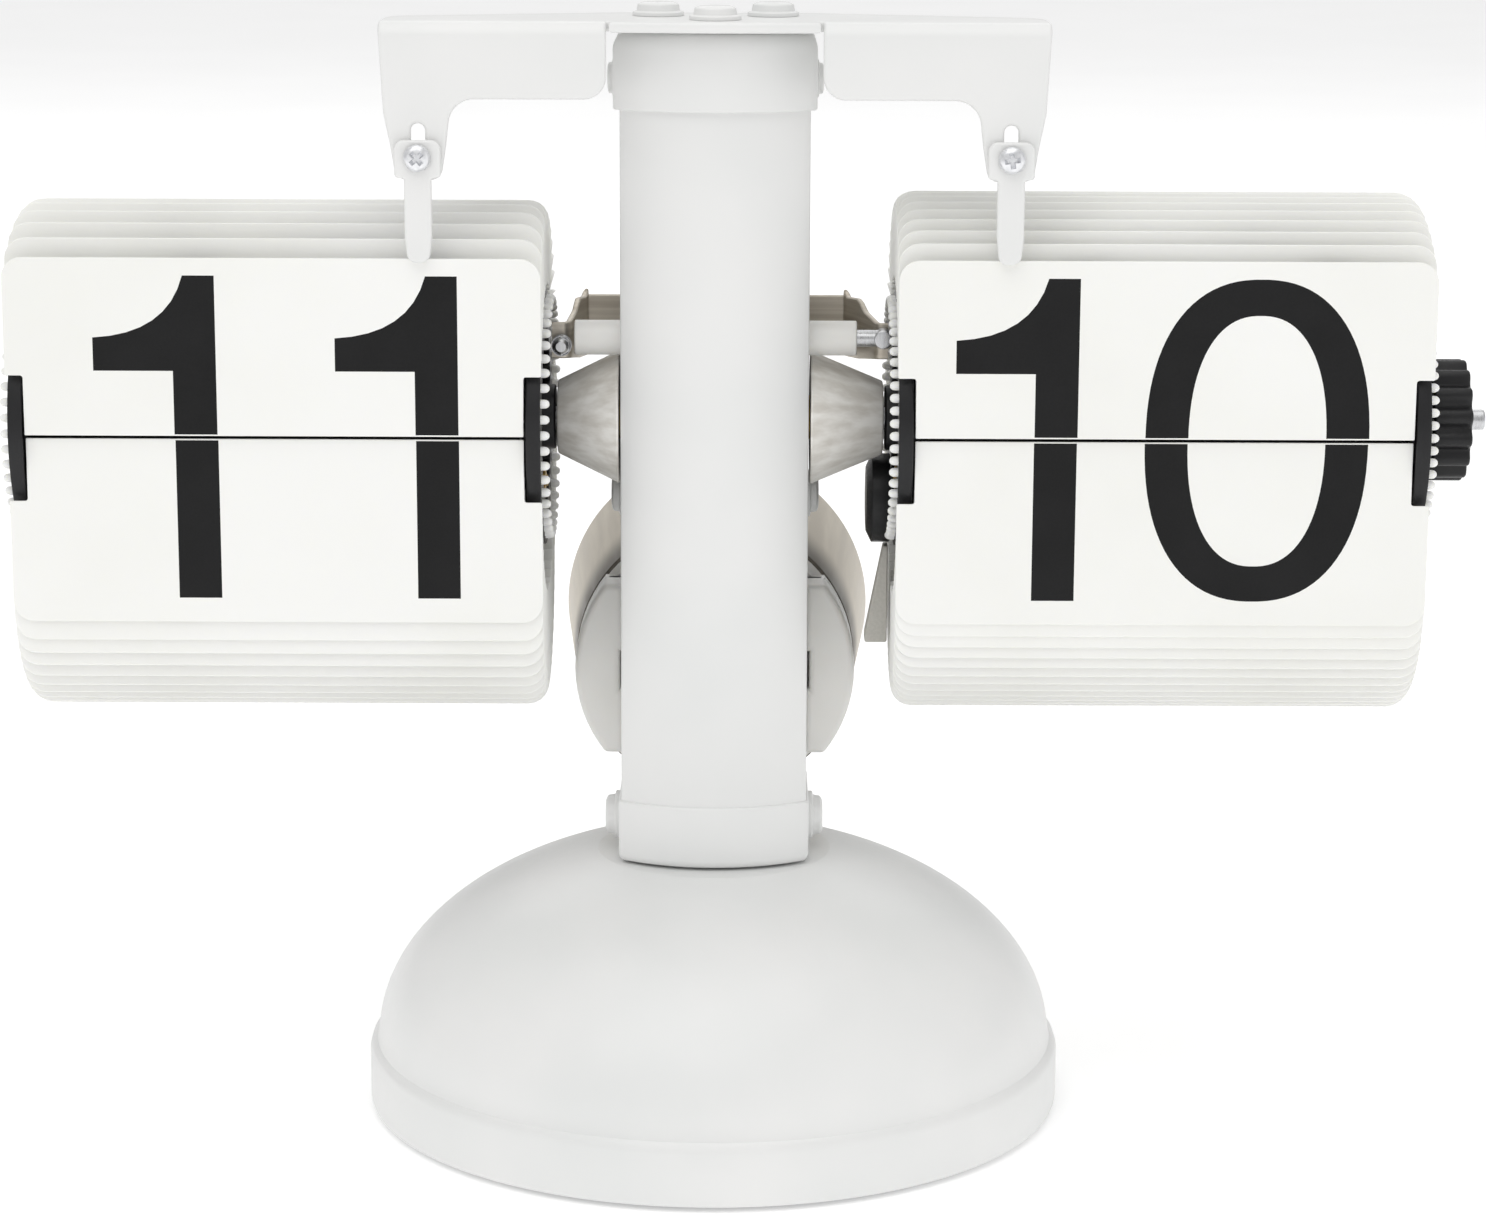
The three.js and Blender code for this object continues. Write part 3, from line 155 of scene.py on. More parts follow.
def counter_clockwise(loop):
    area = sum(x1 * y2 - x2 * y1 for (x1, y1), (x2, y2) in zip(loop, loop[1:] + loop[:1]))
    return list(loop) if area > 0 else list(reversed(loop))


def inset(loop, distance):
    """A counter-clockwise outline moved inwards by a distance."""
    moved = []
    for index, point in enumerate(loop):
        here = Vector(point)
        came = (here - Vector(loop[index - 1])).normalized()
        goes = (Vector(loop[(index + 1) % len(loop)]) - here).normalized()
        normals = Vector((-came.y, came.x)), Vector((-goes.y, goes.x))
        mitre = (normals[0] + normals[1]) / (1 + max(-0.7, normals[0].dot(normals[1])))
        moved.append(tuple(here + mitre * distance))
    return moved


def within(point, loop):
    x, y = point
    inside = False
    for (x1, y1), (x2, y2) in zip(loop, loop[1:] + loop[:1]):
        if (y1 > y) != (y2 > y) and x < (x2 - x1) * (y - y1) / (y2 - y1) + x1:
            inside = not inside
    return inside


def above(loop, level):
    """The part of an outline that lies above a level."""
    kept = []
    for (x1, y1), (x2, y2) in zip(loop, loop[1:] + loop[:1]):
        if y1 >= level:
            kept.append((x1, y1))
        if (y1 >= level) != (y2 >= level):
            kept.append((x1 + (x2 - x1) * (level - y1) / (y2 - y1), level))
    return kept


# ---- Solids ----------------------------------------------------------------------------


def edge_profile(low, high, edges, steps):
    """(inset, height) round a plate's edge, from its lower face to its upper face."""
    quarter = [pi / 2 * k / steps for k in range(steps + 1)]
    soft, crisp = edges
    lower = [(soft * (1 - sin(a)), low + soft * (1 - cos(a))) for a in quarter]
    upper = [(crisp * (1 - sin(a)), high - crisp * (1 - cos(a))) for a in reversed(quarter)]
    return [(soft + HOLD, low)] + lower + upper + [(crisp + HOLD, high)]


def slab(outline, low, high, edge=0.2, holes=(), lay="Z", steps=3, prints=((), ())):
    """A plate with rounded edges, edge wide or (low, high) wide.

    prints are the inked shapes on its low and high face."""
    bm = bmesh.new()
    inked = bm.faces.layers.int.new("ink")
    place = LAY[lay]
    edges = edge if isinstance(edge, tuple) else (edge, edge)
    profile = edge_profile(low, high, edges, steps)
    caps = ([], [])
    for number, loop in enumerate([outline, *holes]):
        loop = counter_clockwise(loop)
        sign = 1 if number == 0 else -1
        rings = []
        for depth, height in profile:
            flat = inset(loop, sign * depth)
            rings.append([bm.verts.new(place(u, v, height)) for u, v in flat])
        for ring, following in zip(rings, rings[1:]):
            for k in range(len(loop)):
                bm.faces.new((ring[k - 1], ring[k], following[k], following[k - 1]))
        for cap, end in zip(caps, (0, -1)):
            cap.append((inset(loop, sign * profile[end][0]), rings[end]))
    for cap, height, shapes in zip(caps, (low, high), prints):
        close_face(bm, cap, height, shapes, place, inked)
    return bm


def close_face(bm, cap, height, shapes, place, inked):
    """Fills one flat face of a plate inside its outline, outside its holes, with its print."""
    points, verts, edges = [], [], []
    loops = [loop for loop, _ in cap]
    for loop, ring in cap:
        edges += [(len(points) + k, len(points) + (k + 1) % len(loop)) for k in range(len(loop))]
        points += loop
        verts += ring
    for solid, voids in shapes:
        for loop in (solid, *voids):
            edges += [
                (len(points) + k, len(points) + (k + 1) % len(loop)) for k in range(len(loop))
            ]
            points += loop
    found, _, faces, origin, _, _ = delaunay_2d_cdt(
        [Vector(p) for p in points], edges, [], 0, 1e-5
    )
    made = {}

    def vertex(k):
        if k not in made:
            own = [i for i in origin[k] if i < len(verts)]
            made[k] = verts[own[0]] if own else bm.verts.new(place(*found[k], height))
        return made[k]

    for face in faces:
        middle = sum((found[k] for k in face), Vector((0, 0))) / len(face)
        if not within(middle, loops[0]) or any(within(middle, hole) for hole in loops[1:]):
            continue
        corners = [vertex(k) for k in face]
        if len(set(corners)) < 3:
            continue
        new = bm.faces.new(corners)
        new[inked] = any(
            within(middle, solid) and not any(within(middle, void) for void in voids)
            for solid, voids in shapes
        )


def turned(corners, axis="Z", steps=96, centre=(0, 0, 0), closed=False, step=ARC_STEP):
    """A solid turned from (along, radius, fillet) corners, from pole to pole or round a loop."""
    path = rounded(corners, closed=closed, step=step)
    bm = bmesh.new()
    bm.faces.layers.int.new("ink")
    spin = {
        "X": lambda a, r, t: (a, r * cos(t), r * sin(t)),
        "Y": lambda a, r, t: (r * cos(t), a, r * sin(t)),
        "Z": lambda a, r, t: (r * cos(t), r * sin(t), a),
    }[axis]
    rings = []
    for along, radius in path:
        angles = [0] if radius < 1e-6 else [2 * pi * k / steps for k in range(steps)]
        rings.append([bm.verts.new(spin(along, radius, t)) for t in angles])
    pairs = list(zip(rings, rings[1:])) + ([(rings[-1], rings[0])] if closed else [])
    for ring, following in pairs:
        for k in range(steps):
            corner = (ring[k - len(ring)] if len(ring) > 1 else ring[0])
            before = (ring[k - 1] if len(ring) > 1 else ring[0])
            above_now = (following[k - len(following)] if len(following) > 1 else following[0])
            above_before = following[k - 1] if len(following) > 1 else following[0]
            quad = []
            for vert in (before, corner, above_now, above_before):
                if vert not in quad:
                    quad.append(vert)
            if len(quad) > 2:
                bm.faces.new(quad)
    bmesh.ops.translate(bm, verts=bm.verts, vec=centre)
    return bm


def block(low, high, edge, lay="Z", steps=2):
    """A rectangular block between two corners with rounded edges."""
    unlay = {"X": (1, 2, 0), "Y": (0, 2, 1), "Z": (0, 1, 2)}[lay]
    u, v, w = unlay
    outline = [(low[u], low[v], edge), (high[u], low[v], edge), (high[u], high[v], edge),
               (low[u], high[v], edge)]
    return slab(rounded(outline, step=30), low[w], high[w], edge, lay=lay, steps=steps)


def together(*parts):
    """Several solids as one."""
    bm = bmesh.new()
    bm.faces.layers.int.new("ink")
    for part in parts:
        bmesh.ops.recalc_face_normals(part, faces=part.faces)
        mesh = bpy.data.meshes.new("part")
        part.to_mesh(mesh)
        part.free()
        bm.from_mesh(mesh)
        bpy.data.meshes.remove(mesh)
    return bm


def to_mesh(name, bm):
    """A solid in millimetres as a smooth mesh in metres, sharp only at its real corners."""
    bmesh.ops.recalc_face_normals(bm, faces=bm.faces)
    bmesh.ops.scale(bm, verts=bm.verts, vec=(MM, MM, MM))
    for face in bm.faces:
        face.smooth = True
    for line in bm.edges:
        line.smooth = len(line.link_faces) == 2 and line.calc_face_angle(0) < SHARP
    mesh = bpy.data.meshes.new(name)
    bm.to_mesh(mesh)
    bm.free()
    return mesh


def show(name, mesh, materials, *nodes):
    """A finished piece that stands for CAD nodes and moves with their body."""
    piece = bpy.data.objects.new(name, mesh)
    bpy.context.scene.collection.objects.link(piece)
    for made in materials:
        if made.name not in [m.name for m in mesh.materials if m]:
            mesh.materials.append(made)
    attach(piece, BODY_OF[nodes[0]])
    return piece


def stand_for(name, bm, made, *nodes):
    """A solid of one finish in place of CAD nodes."""
    piece = show(name, to_mesh(name, bm), [made], *nodes)
    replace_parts(piece, *nodes)
    return piece


def ink_faces(mesh):
    """Gives the inked faces their second material."""
    layer = mesh.attributes.get("ink")
    for face in mesh.polygons:
        face.material_index = 1 if layer.data[face.index].value else 0


# ---- Node trees ------------------------------------------------------------------------


def add_node(tree, kind, settings=None, inputs=None):
    """A node with its settings; an input takes a value or another node's output."""
    node = tree.nodes.new(kind)
    for name, value in (settings or {}).items():
        setattr(node, name, value)
    for name, value in (inputs or {}).items():
        if isinstance(value, bpy.types.NodeSocket):
            tree.links.new(value, node.inputs[name])
        else:
            node.inputs[name].default_value = value
    return node


def new_shape_tree(name, sockets):
    """A geometry tree with named inputs; returns it with its input node."""
    tree = bpy.data.node_groups.new(name, "GeometryNodeTree")
    tree.interface.new_socket("Geometry", in_out="INPUT", socket_type="NodeSocketGeometry")
    for label, kind in sockets:
        tree.interface.new_socket(label, in_out="INPUT", socket_type=kind)
    tree.interface.new_socket("Geometry", in_out="OUTPUT", socket_type="NodeSocketGeometry")
    return tree, add_node(tree, "NodeGroupInput")


def end_tree(tree, group, copies):
    """Makes the copies real, gives them their finish and the ink of printed faces."""
    real = add_node(tree, "GeometryNodeRealizeInstances", None, {"Geometry": copies})
    plain = add_node(tree, "GeometryNodeSetMaterial", None, {
        "Geometry": real.outputs[0], "Material": group.outputs["Finish"]})
    inked = add_node(tree, "GeometryNodeInputNamedAttribute", {"data_type": "INT"},
                     {"Name": "ink"})
    printed = add_node(tree, "GeometryNodeSetMaterial", None, {
        "Geometry": plain.outputs[0],
        "Selection": inked.outputs["Attribute"],
        "Material": group.outputs["Ink"],
    })
    add_node(tree, "NodeGroupOutput", None, {"Geometry": printed.outputs[0]})
    return tree


def formula(tree, operation, *values):
    node = add_node(tree, "ShaderNodeMath", {"operation": operation},
                    dict(enumerate(values)))
    return node.outputs[0]


def grow(name, tree, values, start=None):
    """What a tree makes from its input values, as a plain mesh."""
    carrier = bpy.data.objects.new(name, start or bpy.data.meshes.new(name))
    bpy.context.scene.collection.objects.link(carrier)
    modifier = carrier.modifiers.new("shape", "NODES")
    modifier.node_group = tree
    for item in tree.interface.items_tree:
        if item.item_type == "SOCKET" and item.in_out == "INPUT" and item.name in values:
            modifier[item.identifier] = values[item.name]
    graph = bpy.context.evaluated_depsgraph_get()
    graph.update()
    mesh = bpy.data.meshes.new_from_object(
        carrier.evaluated_get(graph), preserve_all_data_layers=True, depsgraph=graph
    )
    carrier.modifiers.remove(modifier)
    bpy.data.objects.remove(carrier)
    mesh.name = name
    return mesh


def ring_tree():
    """Copies of one piece evenly round the X axis, each turned with its place."""
    tree, group = new_shape_tree("ring of copies", [
        ("Count", "NodeSocketInt"), ("Radius", "NodeSocketFloat"),
        ("First Angle", "NodeSocketFloat"), ("Copy", "NodeSocketObject"),
        ("Finish", "NodeSocketMaterial"), ("Ink", "NodeSocketMaterial"),
    ])
    given = group.outputs
    index = add_node(tree, "GeometryNodeInputIndex").outputs[0]
    pitch = formula(tree, "DIVIDE", 2 * pi, given["Count"])
    angle = formula(tree, "ADD", formula(tree, "MULTIPLY", index, pitch), given["First Angle"])
    place = add_node(tree, "ShaderNodeCombineXYZ", None, {
        "Y": formula(tree, "MULTIPLY", given["Radius"], formula(tree, "COSINE", angle)),
        "Z": formula(tree, "MULTIPLY", given["Radius"], formula(tree, "SINE", angle)),
    })
    points = add_node(tree, "GeometryNodePoints", None, {
        "Count": given["Count"], "Position": place.outputs[0], "Radius": MM})
    turn = add_node(tree, "ShaderNodeCombineXYZ", None, {"X": angle})
    copy = add_node(tree, "GeometryNodeObjectInfo", None, {"Object": given["Copy"]})
    copies = add_node(tree, "GeometryNodeInstanceOnPoints", None, {
        "Points": points.outputs[0], "Instance": copy.outputs["Geometry"],
        "Rotation": turn.outputs[0],
    })
    return end_tree(tree, group, copies.outputs[0])


def spool_tree():
    """Leaves hinged round a drum: each leans back in proportion to its hinge's turn."""
    tree, group = new_shape_tree("spool of leaves", [
        ("Count", "NodeSocketInt"), ("Pitch", "NodeSocketFloat"),
        ("Phase", "NodeSocketFloat"),
        ("Pin Circle", "NodeSocketFloat"), ("Lean", "NodeSocketFloat"),
        ("Lag", "NodeSocketFloat"), ("Leaves", "NodeSocketCollection"),
        ("Finish", "NodeSocketMaterial"), ("Ink", "NodeSocketMaterial"),
    ])
    given = group.outputs
    index = add_node(tree, "GeometryNodeInputIndex").outputs[0]
    steps = formula(tree, "MULTIPLY", formula(tree, "ADD", index, 1.0), given["Pitch"])
    turn = formula(tree, "ADD", steps, given["Phase"])
    forward = formula(tree, "MULTIPLY", given["Pin Circle"], formula(tree, "COSINE", turn))
    place = add_node(tree, "ShaderNodeCombineXYZ", None, {
        "Y": formula(tree, "MULTIPLY", forward, -1.0),
        "Z": formula(tree, "MULTIPLY", given["Pin Circle"], formula(tree, "SINE", turn)),
    })
    points = add_node(tree, "GeometryNodePoints", None, {
        "Count": given["Count"], "Position": place.outputs[0], "Radius": MM})
    back = formula(tree, "MULTIPLY", given["Lean"],
                   formula(tree, "SUBTRACT", turn, given["Lag"]))
    lean = formula(tree, "MULTIPLY", formula(tree, "MINIMUM", back, pi), -1.0)
    tilt = add_node(tree, "ShaderNodeCombineXYZ", None, {"X": lean})
    leaves = add_node(tree, "GeometryNodeCollectionInfo", None, {
        "Collection": given["Leaves"], "Separate Children": True, "Reset Children": True})
    copies = add_node(tree, "GeometryNodeInstanceOnPoints", None, {
        "Points": points.outputs[0], "Instance": leaves.outputs[0], "Pick Instance": True,
        "Instance Index": index, "Rotation": tilt.outputs[0],
    })
    return end_tree(tree, group, copies.outputs[0])


def marks_tree():
    """Copies of one piece at marked points, with each mark's own turn and size."""
    tree, group = new_shape_tree("copies at marks", [
        ("Copy", "NodeSocketObject"), ("Finish", "NodeSocketMaterial"),
        ("Ink", "NodeSocketMaterial"),
    ])
    turn = add_node(tree, "GeometryNodeInputNamedAttribute",
                    {"data_type": "FLOAT_VECTOR"}, {"Name": "turn"})
    size = add_node(tree, "GeometryNodeInputNamedAttribute",
                    {"data_type": "FLOAT_VECTOR"}, {"Name": "size"})
    copy = add_node(tree, "GeometryNodeObjectInfo", None, {"Object": group.outputs["Copy"]})
    copies = add_node(tree, "GeometryNodeInstanceOnPoints", None, {
        "Points": group.outputs["Geometry"], "Instance": copy.outputs["Geometry"],
        "Rotation": turn.outputs["Attribute"], "Scale": size.outputs["Attribute"],
    })
    return end_tree(tree, group, copies.outputs[0])


def pattern_object(name, bm):
    """An object that a tree copies, kept out of the scene."""
    return bpy.data.objects.new(name, to_mesh(name, bm))


def marks_mesh(name, marks):
    """Points with a turn and a size each, from (place in mm, turn, size)."""
    mesh = bpy.data.meshes.new(name)
    mesh.from_pydata([Vector(place) * MM for place, _, _ in marks], [], [])
    for label, column in (("turn", 1), ("size", 2)):
        layer = mesh.attributes.new(label, "FLOAT_VECTOR", "POINT")
        for index, mark in enumerate(marks):
            layer.data[index].vector = mark[column]
    return mesh


# ---- Finishes --------------------------------------------------------------------------


def new_finish(name):
    """A material with its shader node and a node for object coordinates."""
    made = bpy.data.materials.new(name)
    made.use_nodes = True
    tree = made.node_tree
    tree.nodes.clear()
    shader = add_node(tree, "ShaderNodeBsdfPrincipled")
    add_node(tree, "ShaderNodeOutputMaterial", None, {"Surface": shader.outputs[0]})
    where = add_node(tree, "ShaderNodeTexCoord").outputs["Object"]
    return made, tree, shader, where


def stretched(tree, where, scale):
    """Coordinates stretched so that a pattern runs along an axis."""
    return add_node(tree, "ShaderNodeMapping", {"vector_type": "POINT"},
                    {"Vector": where, "Scale": scale}).outputs[0]


def speckle(tree, where, size_mm, detail=2.0, low=0.35, high=0.65):
    """Noise whose blotches measure about size_mm, spread to the full range."""
    noise = add_node(tree, "ShaderNodeTexNoise", None, {
        "Vector": where, "Scale": 1 / (size_mm * MM), "Detail": detail, "Roughness": 0.5})
    return add_node(tree, "ShaderNodeMapRange", None, {
        "Value": noise.outputs["Fac"], "From Min": low, "From Max": high}).outputs[0]


def mix_colours(tree, factor, first, second):
    return add_node(tree, "ShaderNodeMix", {"data_type": "RGBA"}, {
        "Factor": factor, "A": linear(first), "B": linear(second)}).outputs["Result"]


def between(tree, factor, low, high):
    return add_node(tree, "ShaderNodeMapRange", None, {
        "Value": factor, "To Min": low, "To Max": high}).outputs[0]


def relief(tree, height, depth_mm, strength=1.0):
    return add_node(tree, "ShaderNodeBump", None, {
        "Height": height, "Distance": depth_mm * MM, "Strength": strength}).outputs[0]


def set_shader(tree, shader, constants, linked):
    for name, value in constants.items():
        shader.inputs[name].default_value = value
    for name, socket in linked.items():
        tree.links.new(socket, shader.inputs[name])


def stove_enamel():
    """Stove-enamelled sheet and castings: satin white over a faint orange peel."""
    made, tree, shader, where = new_finish("stove enamel satin white")
    peel = speckle(tree, where, 1.1, 1.0)  # the ripple of baked paint, about 1 mm across
    cloud = speckle(tree, where, 24, 2.0)  # slight change of film thickness
    set_shader(tree, shader, {"IOR": 1.5, "Coat Weight": 0.12, "Coat Roughness": 0.25}, {
        "Base Color": mix_colours(tree, cloud, "#e6e7e6", "#ebebea"),
        "Roughness": between(tree, peel, 0.34, 0.42),
        "Normal": relief(tree, peel, 0.006, 0.5),
    })
    return made


def moulded_white():
    """Injection-moulded ABS: warm white, soft sheen, a fine spark-eroded grain."""
    made, tree, shader, where = new_finish("ABS moulded warm white")
    grain = speckle(tree, where, 0.35, 2.0)  # eroded mould texture, drawn coarse to show
    cloud = speckle(tree, where, 15)
    set_shader(tree, shader, {
        "IOR": 1.53, "Subsurface Weight": 0.08, "Subsurface Radius": (0.002, 0.0015, 0.001),
    }, {
        "Base Color": mix_colours(tree, cloud, "#e6e5e1", "#ecebe8"),
        "Roughness": between(tree, grain, 0.36, 0.46),
        "Normal": relief(tree, grain, 0.004, 0.5),
    })
    return made


def leaf_sheet():
    """Matt rigid PVC sheet, calendered: near white with almost no gloss."""
    made, tree, shader, where = new_finish("PVC sheet matt white")
    tooth = speckle(tree, where, 0.3, 3.0)  # the roller's tooth, drawn coarse to show
    cloud = speckle(tree, where, 30)
    set_shader(tree, shader, {
        "IOR": 1.53, "Specular IOR Level": 0.35,
        "Subsurface Weight": 0.3, "Subsurface Radius": (0.003, 0.003, 0.0027),
    }, {
        "Base Color": mix_colours(tree, cloud, "#f3f3ef", "#f7f7f4"),
        "Roughness": between(tree, tooth, 0.55, 0.66),
        "Normal": relief(tree, tooth, 0.003, 0.4),
    })
    return made


def printing_ink():
    """Screen-printed numeral ink: dense black, slightly uneven sheen."""
    made, tree, shader, where = new_finish("screen ink black")
    mesh_mark = speckle(tree, where, 0.25, 2.0)  # trace of the screen's threads
    cloud = speckle(tree, where, 9)
    set_shader(tree, shader, {"IOR": 1.48, "Specular IOR Level": 0.25}, {
        "Base Color": mix_colours(tree, cloud, "#111112", "#161617"),
        "Roughness": between(tree, mesh_mark, 0.45, 0.58),
        "Normal": relief(tree, mesh_mark, 0.002, 0.5),
    })
    return made


def black_moulding():
    """Black acetal for drums, knob and cases: satin, faintly grey at grazing light."""
    made, tree, shader, where = new_finish("acetal moulded black")
    grain = speckle(tree, where, 0.3, 3.0)  # mould grain, drawn coarse to show
    cloud = speckle(tree, where, 5)
    set_shader(tree, shader, {"IOR": 1.48, "Specular IOR Level": 0.4}, {
        "Base Color": mix_colours(tree, cloud, "#131315", "#1a1a1c"),
        "Roughness": between(tree, grain, 0.36, 0.5),
        "Normal": relief(tree, grain, 0.004, 0.6),
    })
    return made


def pin_nylon():
    """Natural nylon hinge pins: milky white, slightly translucent."""
    made, tree, shader, where = new_finish("nylon natural")
    cloud = speckle(tree, where, 2.5)
    set_shader(tree, shader, {
        "IOR": 1.53, "Subsurface Weight": 0.2, "Subsurface Radius": (0.001, 0.001, 0.0008),
    }, {
        "Base Color": mix_colours(tree, cloud, "#f3f3f0", "#f9f9f7"),
        "Roughness": between(tree, cloud, 0.35, 0.45),
    })
    return made


def cream_moulding():
    """Cream polycarbonate of the guide plate: matt with a fine grain."""
    made, tree, shader, where = new_finish("polycarbonate cream")
    grain = speckle(tree, where, 0.4, 2.0)
    set_shader(tree, shader, {"IOR": 1.58}, {
        "Base Color": mix_colours(tree, grain, "#c6c4bc", "#cecbc4"),
        "Roughness": between(tree, grain, 0.45, 0.55),
        "Normal": relief(tree, grain, 0.004, 0.5),
    })
    return made


def steel(name, along, tones, line_mm, roughness=(0.3, 0.42), metal=1.0, shade=None):
    """Bare metal whose drawing marks run along the axis that is small in along.

    shade is (near, far, colour): painted shade, a darker colour that fades out between two depths
    in mm."""
    made, tree, shader, where = new_finish(name)
    lines = speckle(tree, stretched(tree, where, along), line_mm, 3.0)
    tone = mix_colours(tree, lines, *tones)
    if shade:
        near, far, colour = shade
        depth = add_node(tree, "ShaderNodeSeparateXYZ", None, {"Vector": where}).outputs["Y"]
        fade = add_node(tree, "ShaderNodeMapRange", {"interpolation_type": "SMOOTHSTEP"}, {
            "Value": depth, "From Min": near * MM, "From Max": far * MM})
        mixed = add_node(tree, "ShaderNodeMix", {"data_type": "RGBA"}, {
            "Factor": fade.outputs[0], "A": linear(colour), "B": tone})
        tone = mixed.outputs["Result"]
    set_shader(tree, shader, {"Metallic": metal}, {
        "Base Color": tone,
        "Roughness": between(tree, lines, *roughness),
        "Normal": relief(tree, lines, 0.003, 0.4),
    })
    return made


def turned_steel():
    """Satin steel sleeves, polished lengthwise: soft warm bands along the X axis, partly polishing
    lines and partly painted reflection streaks, in pale tones painted to stand for reflected light.
    """
    # the pale tones and colour bands are painted reflection, laid over real lengthwise polishing
    # lines
    return steel("steel satin warm grey", (0.03, 1.0, 1.0), ("#dcd8d0", "#f4f2ed"), 1.5,
                 (0.5, 0.6), 0.15)


def brushed_steel():
    """Drawn battery sleeve, with painted shade: its front part darker, fading to plain steel
    further back.
    """
    # the last value paints shade onto the sleeve's front part, where the white holder shades it
    return steel("steel drawn warm grey", (1.0, 0.04, 1.0), ("#beb6a8", "#cfc8bb"), 2.0,
                 (0.38, 0.5), 0.6, (13.5, 27.0, "#6f6a62"))


def sheet_steel():
    """Rolled strip of the saddle bracket: lines run along the strip."""
    return steel("steel strip warm grey", (0.03, 0.03, 1.0), ("#b5ac9f", "#d3ccc0"), 0.9,
                 (0.3, 0.45), 0.75)


def plated_steel():
    """Zinc-plated axle, rod and nut: brighter and slightly blue."""
    return steel("steel zinc plated", (1.0, 0.2, 0.2), ("#bcbcbe", "#d3d4d6"), 0.3,
                 (0.25, 0.38))


def nickel():
    """Nickel-plated screws: nearly white, a soft gloss."""
    return steel("steel nickel plated", (1.0, 1.0, 1.0), ("#dfe0e3", "#eeeff1"), 0.6,
                 (0.28, 0.38), 0.75)


def turned_brass():
    """Free-cutting brass of pinions and bushes, turned."""
    return steel("brass turned", (1.0, 0.1, 0.1), ("#bf9f5c", "#cdae6e"), 0.2)


def grey_iron():
    """Sand-cast grey iron ballast: dark, coarse and dull."""
    made, tree, shader, where = new_finish("grey iron sand cast")
    sand = speckle(tree, where, 0.8, 4.0)  # the mould's sand grains
    set_shader(tree, shader, {"Metallic": 0.8}, {
        "Base Color": mix_colours(tree, sand, "#3c3c3d", "#555556"),
        "Roughness": between(tree, sand, 0.6, 0.85),
        "Normal": relief(tree, sand, 0.12, 0.8),
    })
    return made


def sheet_rubber():
    """Nitrile foot pad: matt black-grey with a cloth-pressed grain."""
    made, tree, shader, where = new_finish("rubber sheet")
    grain = speckle(tree, where, 0.5, 3.0)
    set_shader(tree, shader, {"IOR": 1.52, "Specular IOR Level": 0.3}, {
        "Base Color": mix_colours(tree, grain, "#2e2e2e", "#3b3b3b"),
        "Roughness": between(tree, grain, 0.78, 0.92),
        "Normal": relief(tree, grain, 0.05, 0.7),
    })
    return made


def shrink_sleeve():
    """Printed shrink sleeve of the round cell: plain slate grey, glossy."""
    made, tree, shader, where = new_finish("cell sleeve slate grey")
    cloud = speckle(tree, where, 6)
    set_shader(tree, shader, {"IOR": 1.5, "Coat Weight": 0.4, "Coat Roughness": 0.1}, {
        "Base Color": mix_colours(tree, cloud, "#66707a", "#737d86"),
        "Roughness": between(tree, cloud, 0.3, 0.4),
    })
    return made


def studio_paper():
    """The plain pale floor, lit a little from below like a light table."""
    made, tree, shader, where = new_finish("studio paper")
    cloud = speckle(tree, where, 90)
    set_shader(tree, shader, {
        "Specular IOR Level": 0.1, "Emission Color": (1, 1, 1, 1), "Emission Strength": 0.3,
    }, {
        "Base Color": mix_colours(tree, cloud, "#f4f4f4", "#f6f6f6"),
        "Roughness": between(tree, cloud, 0.85, 0.9),
    })
    return made


FINISHES = {}


def finish(maker):
    """Each finish is made once and shared."""
    if maker not in FINISHES:
        FINISHES[maker] = maker()
    return FINISHES[maker]


# ---- Numerals --------------------------------------------------------------------------

NUMERAL = {"height": 44.2, "width": 30.2, "stem": 5.8, "bar": 4.9, "advance": 32.5,
           "one_width": 16.5}


def ribbon(line, width):
    """A band of constant width along an open line."""
    left, right = [], []
    for index, point in enumerate(line):
        before = Vector(line[max(index - 1, 0)])
        after = Vector(line[min(index + 1, len(line) - 1)])
        along = (after - before).normalized()
        across = Vector((-along.y, along.x)) * width / 2
        left.append(tuple(Vector(point) + across))
        right.append(tuple(Vector(point) - across))
    return right + left[::-1]


def oval(centre, radii, step):
    """An upright oval whose sides are a little straighter than an ellipse's."""
    count = max(12, round(360 / step))
    points = []
    for k in range(count):
        c, s = cos(2 * pi * k / count), sin(2 * pi * k / count)
        square = 0.86
        points.append((
            centre[0] + radii[0] * math.copysign(abs(c) ** square, c),
            centre[1] + radii[1] * math.copysign(abs(s) ** square, s),
        ))
    return points


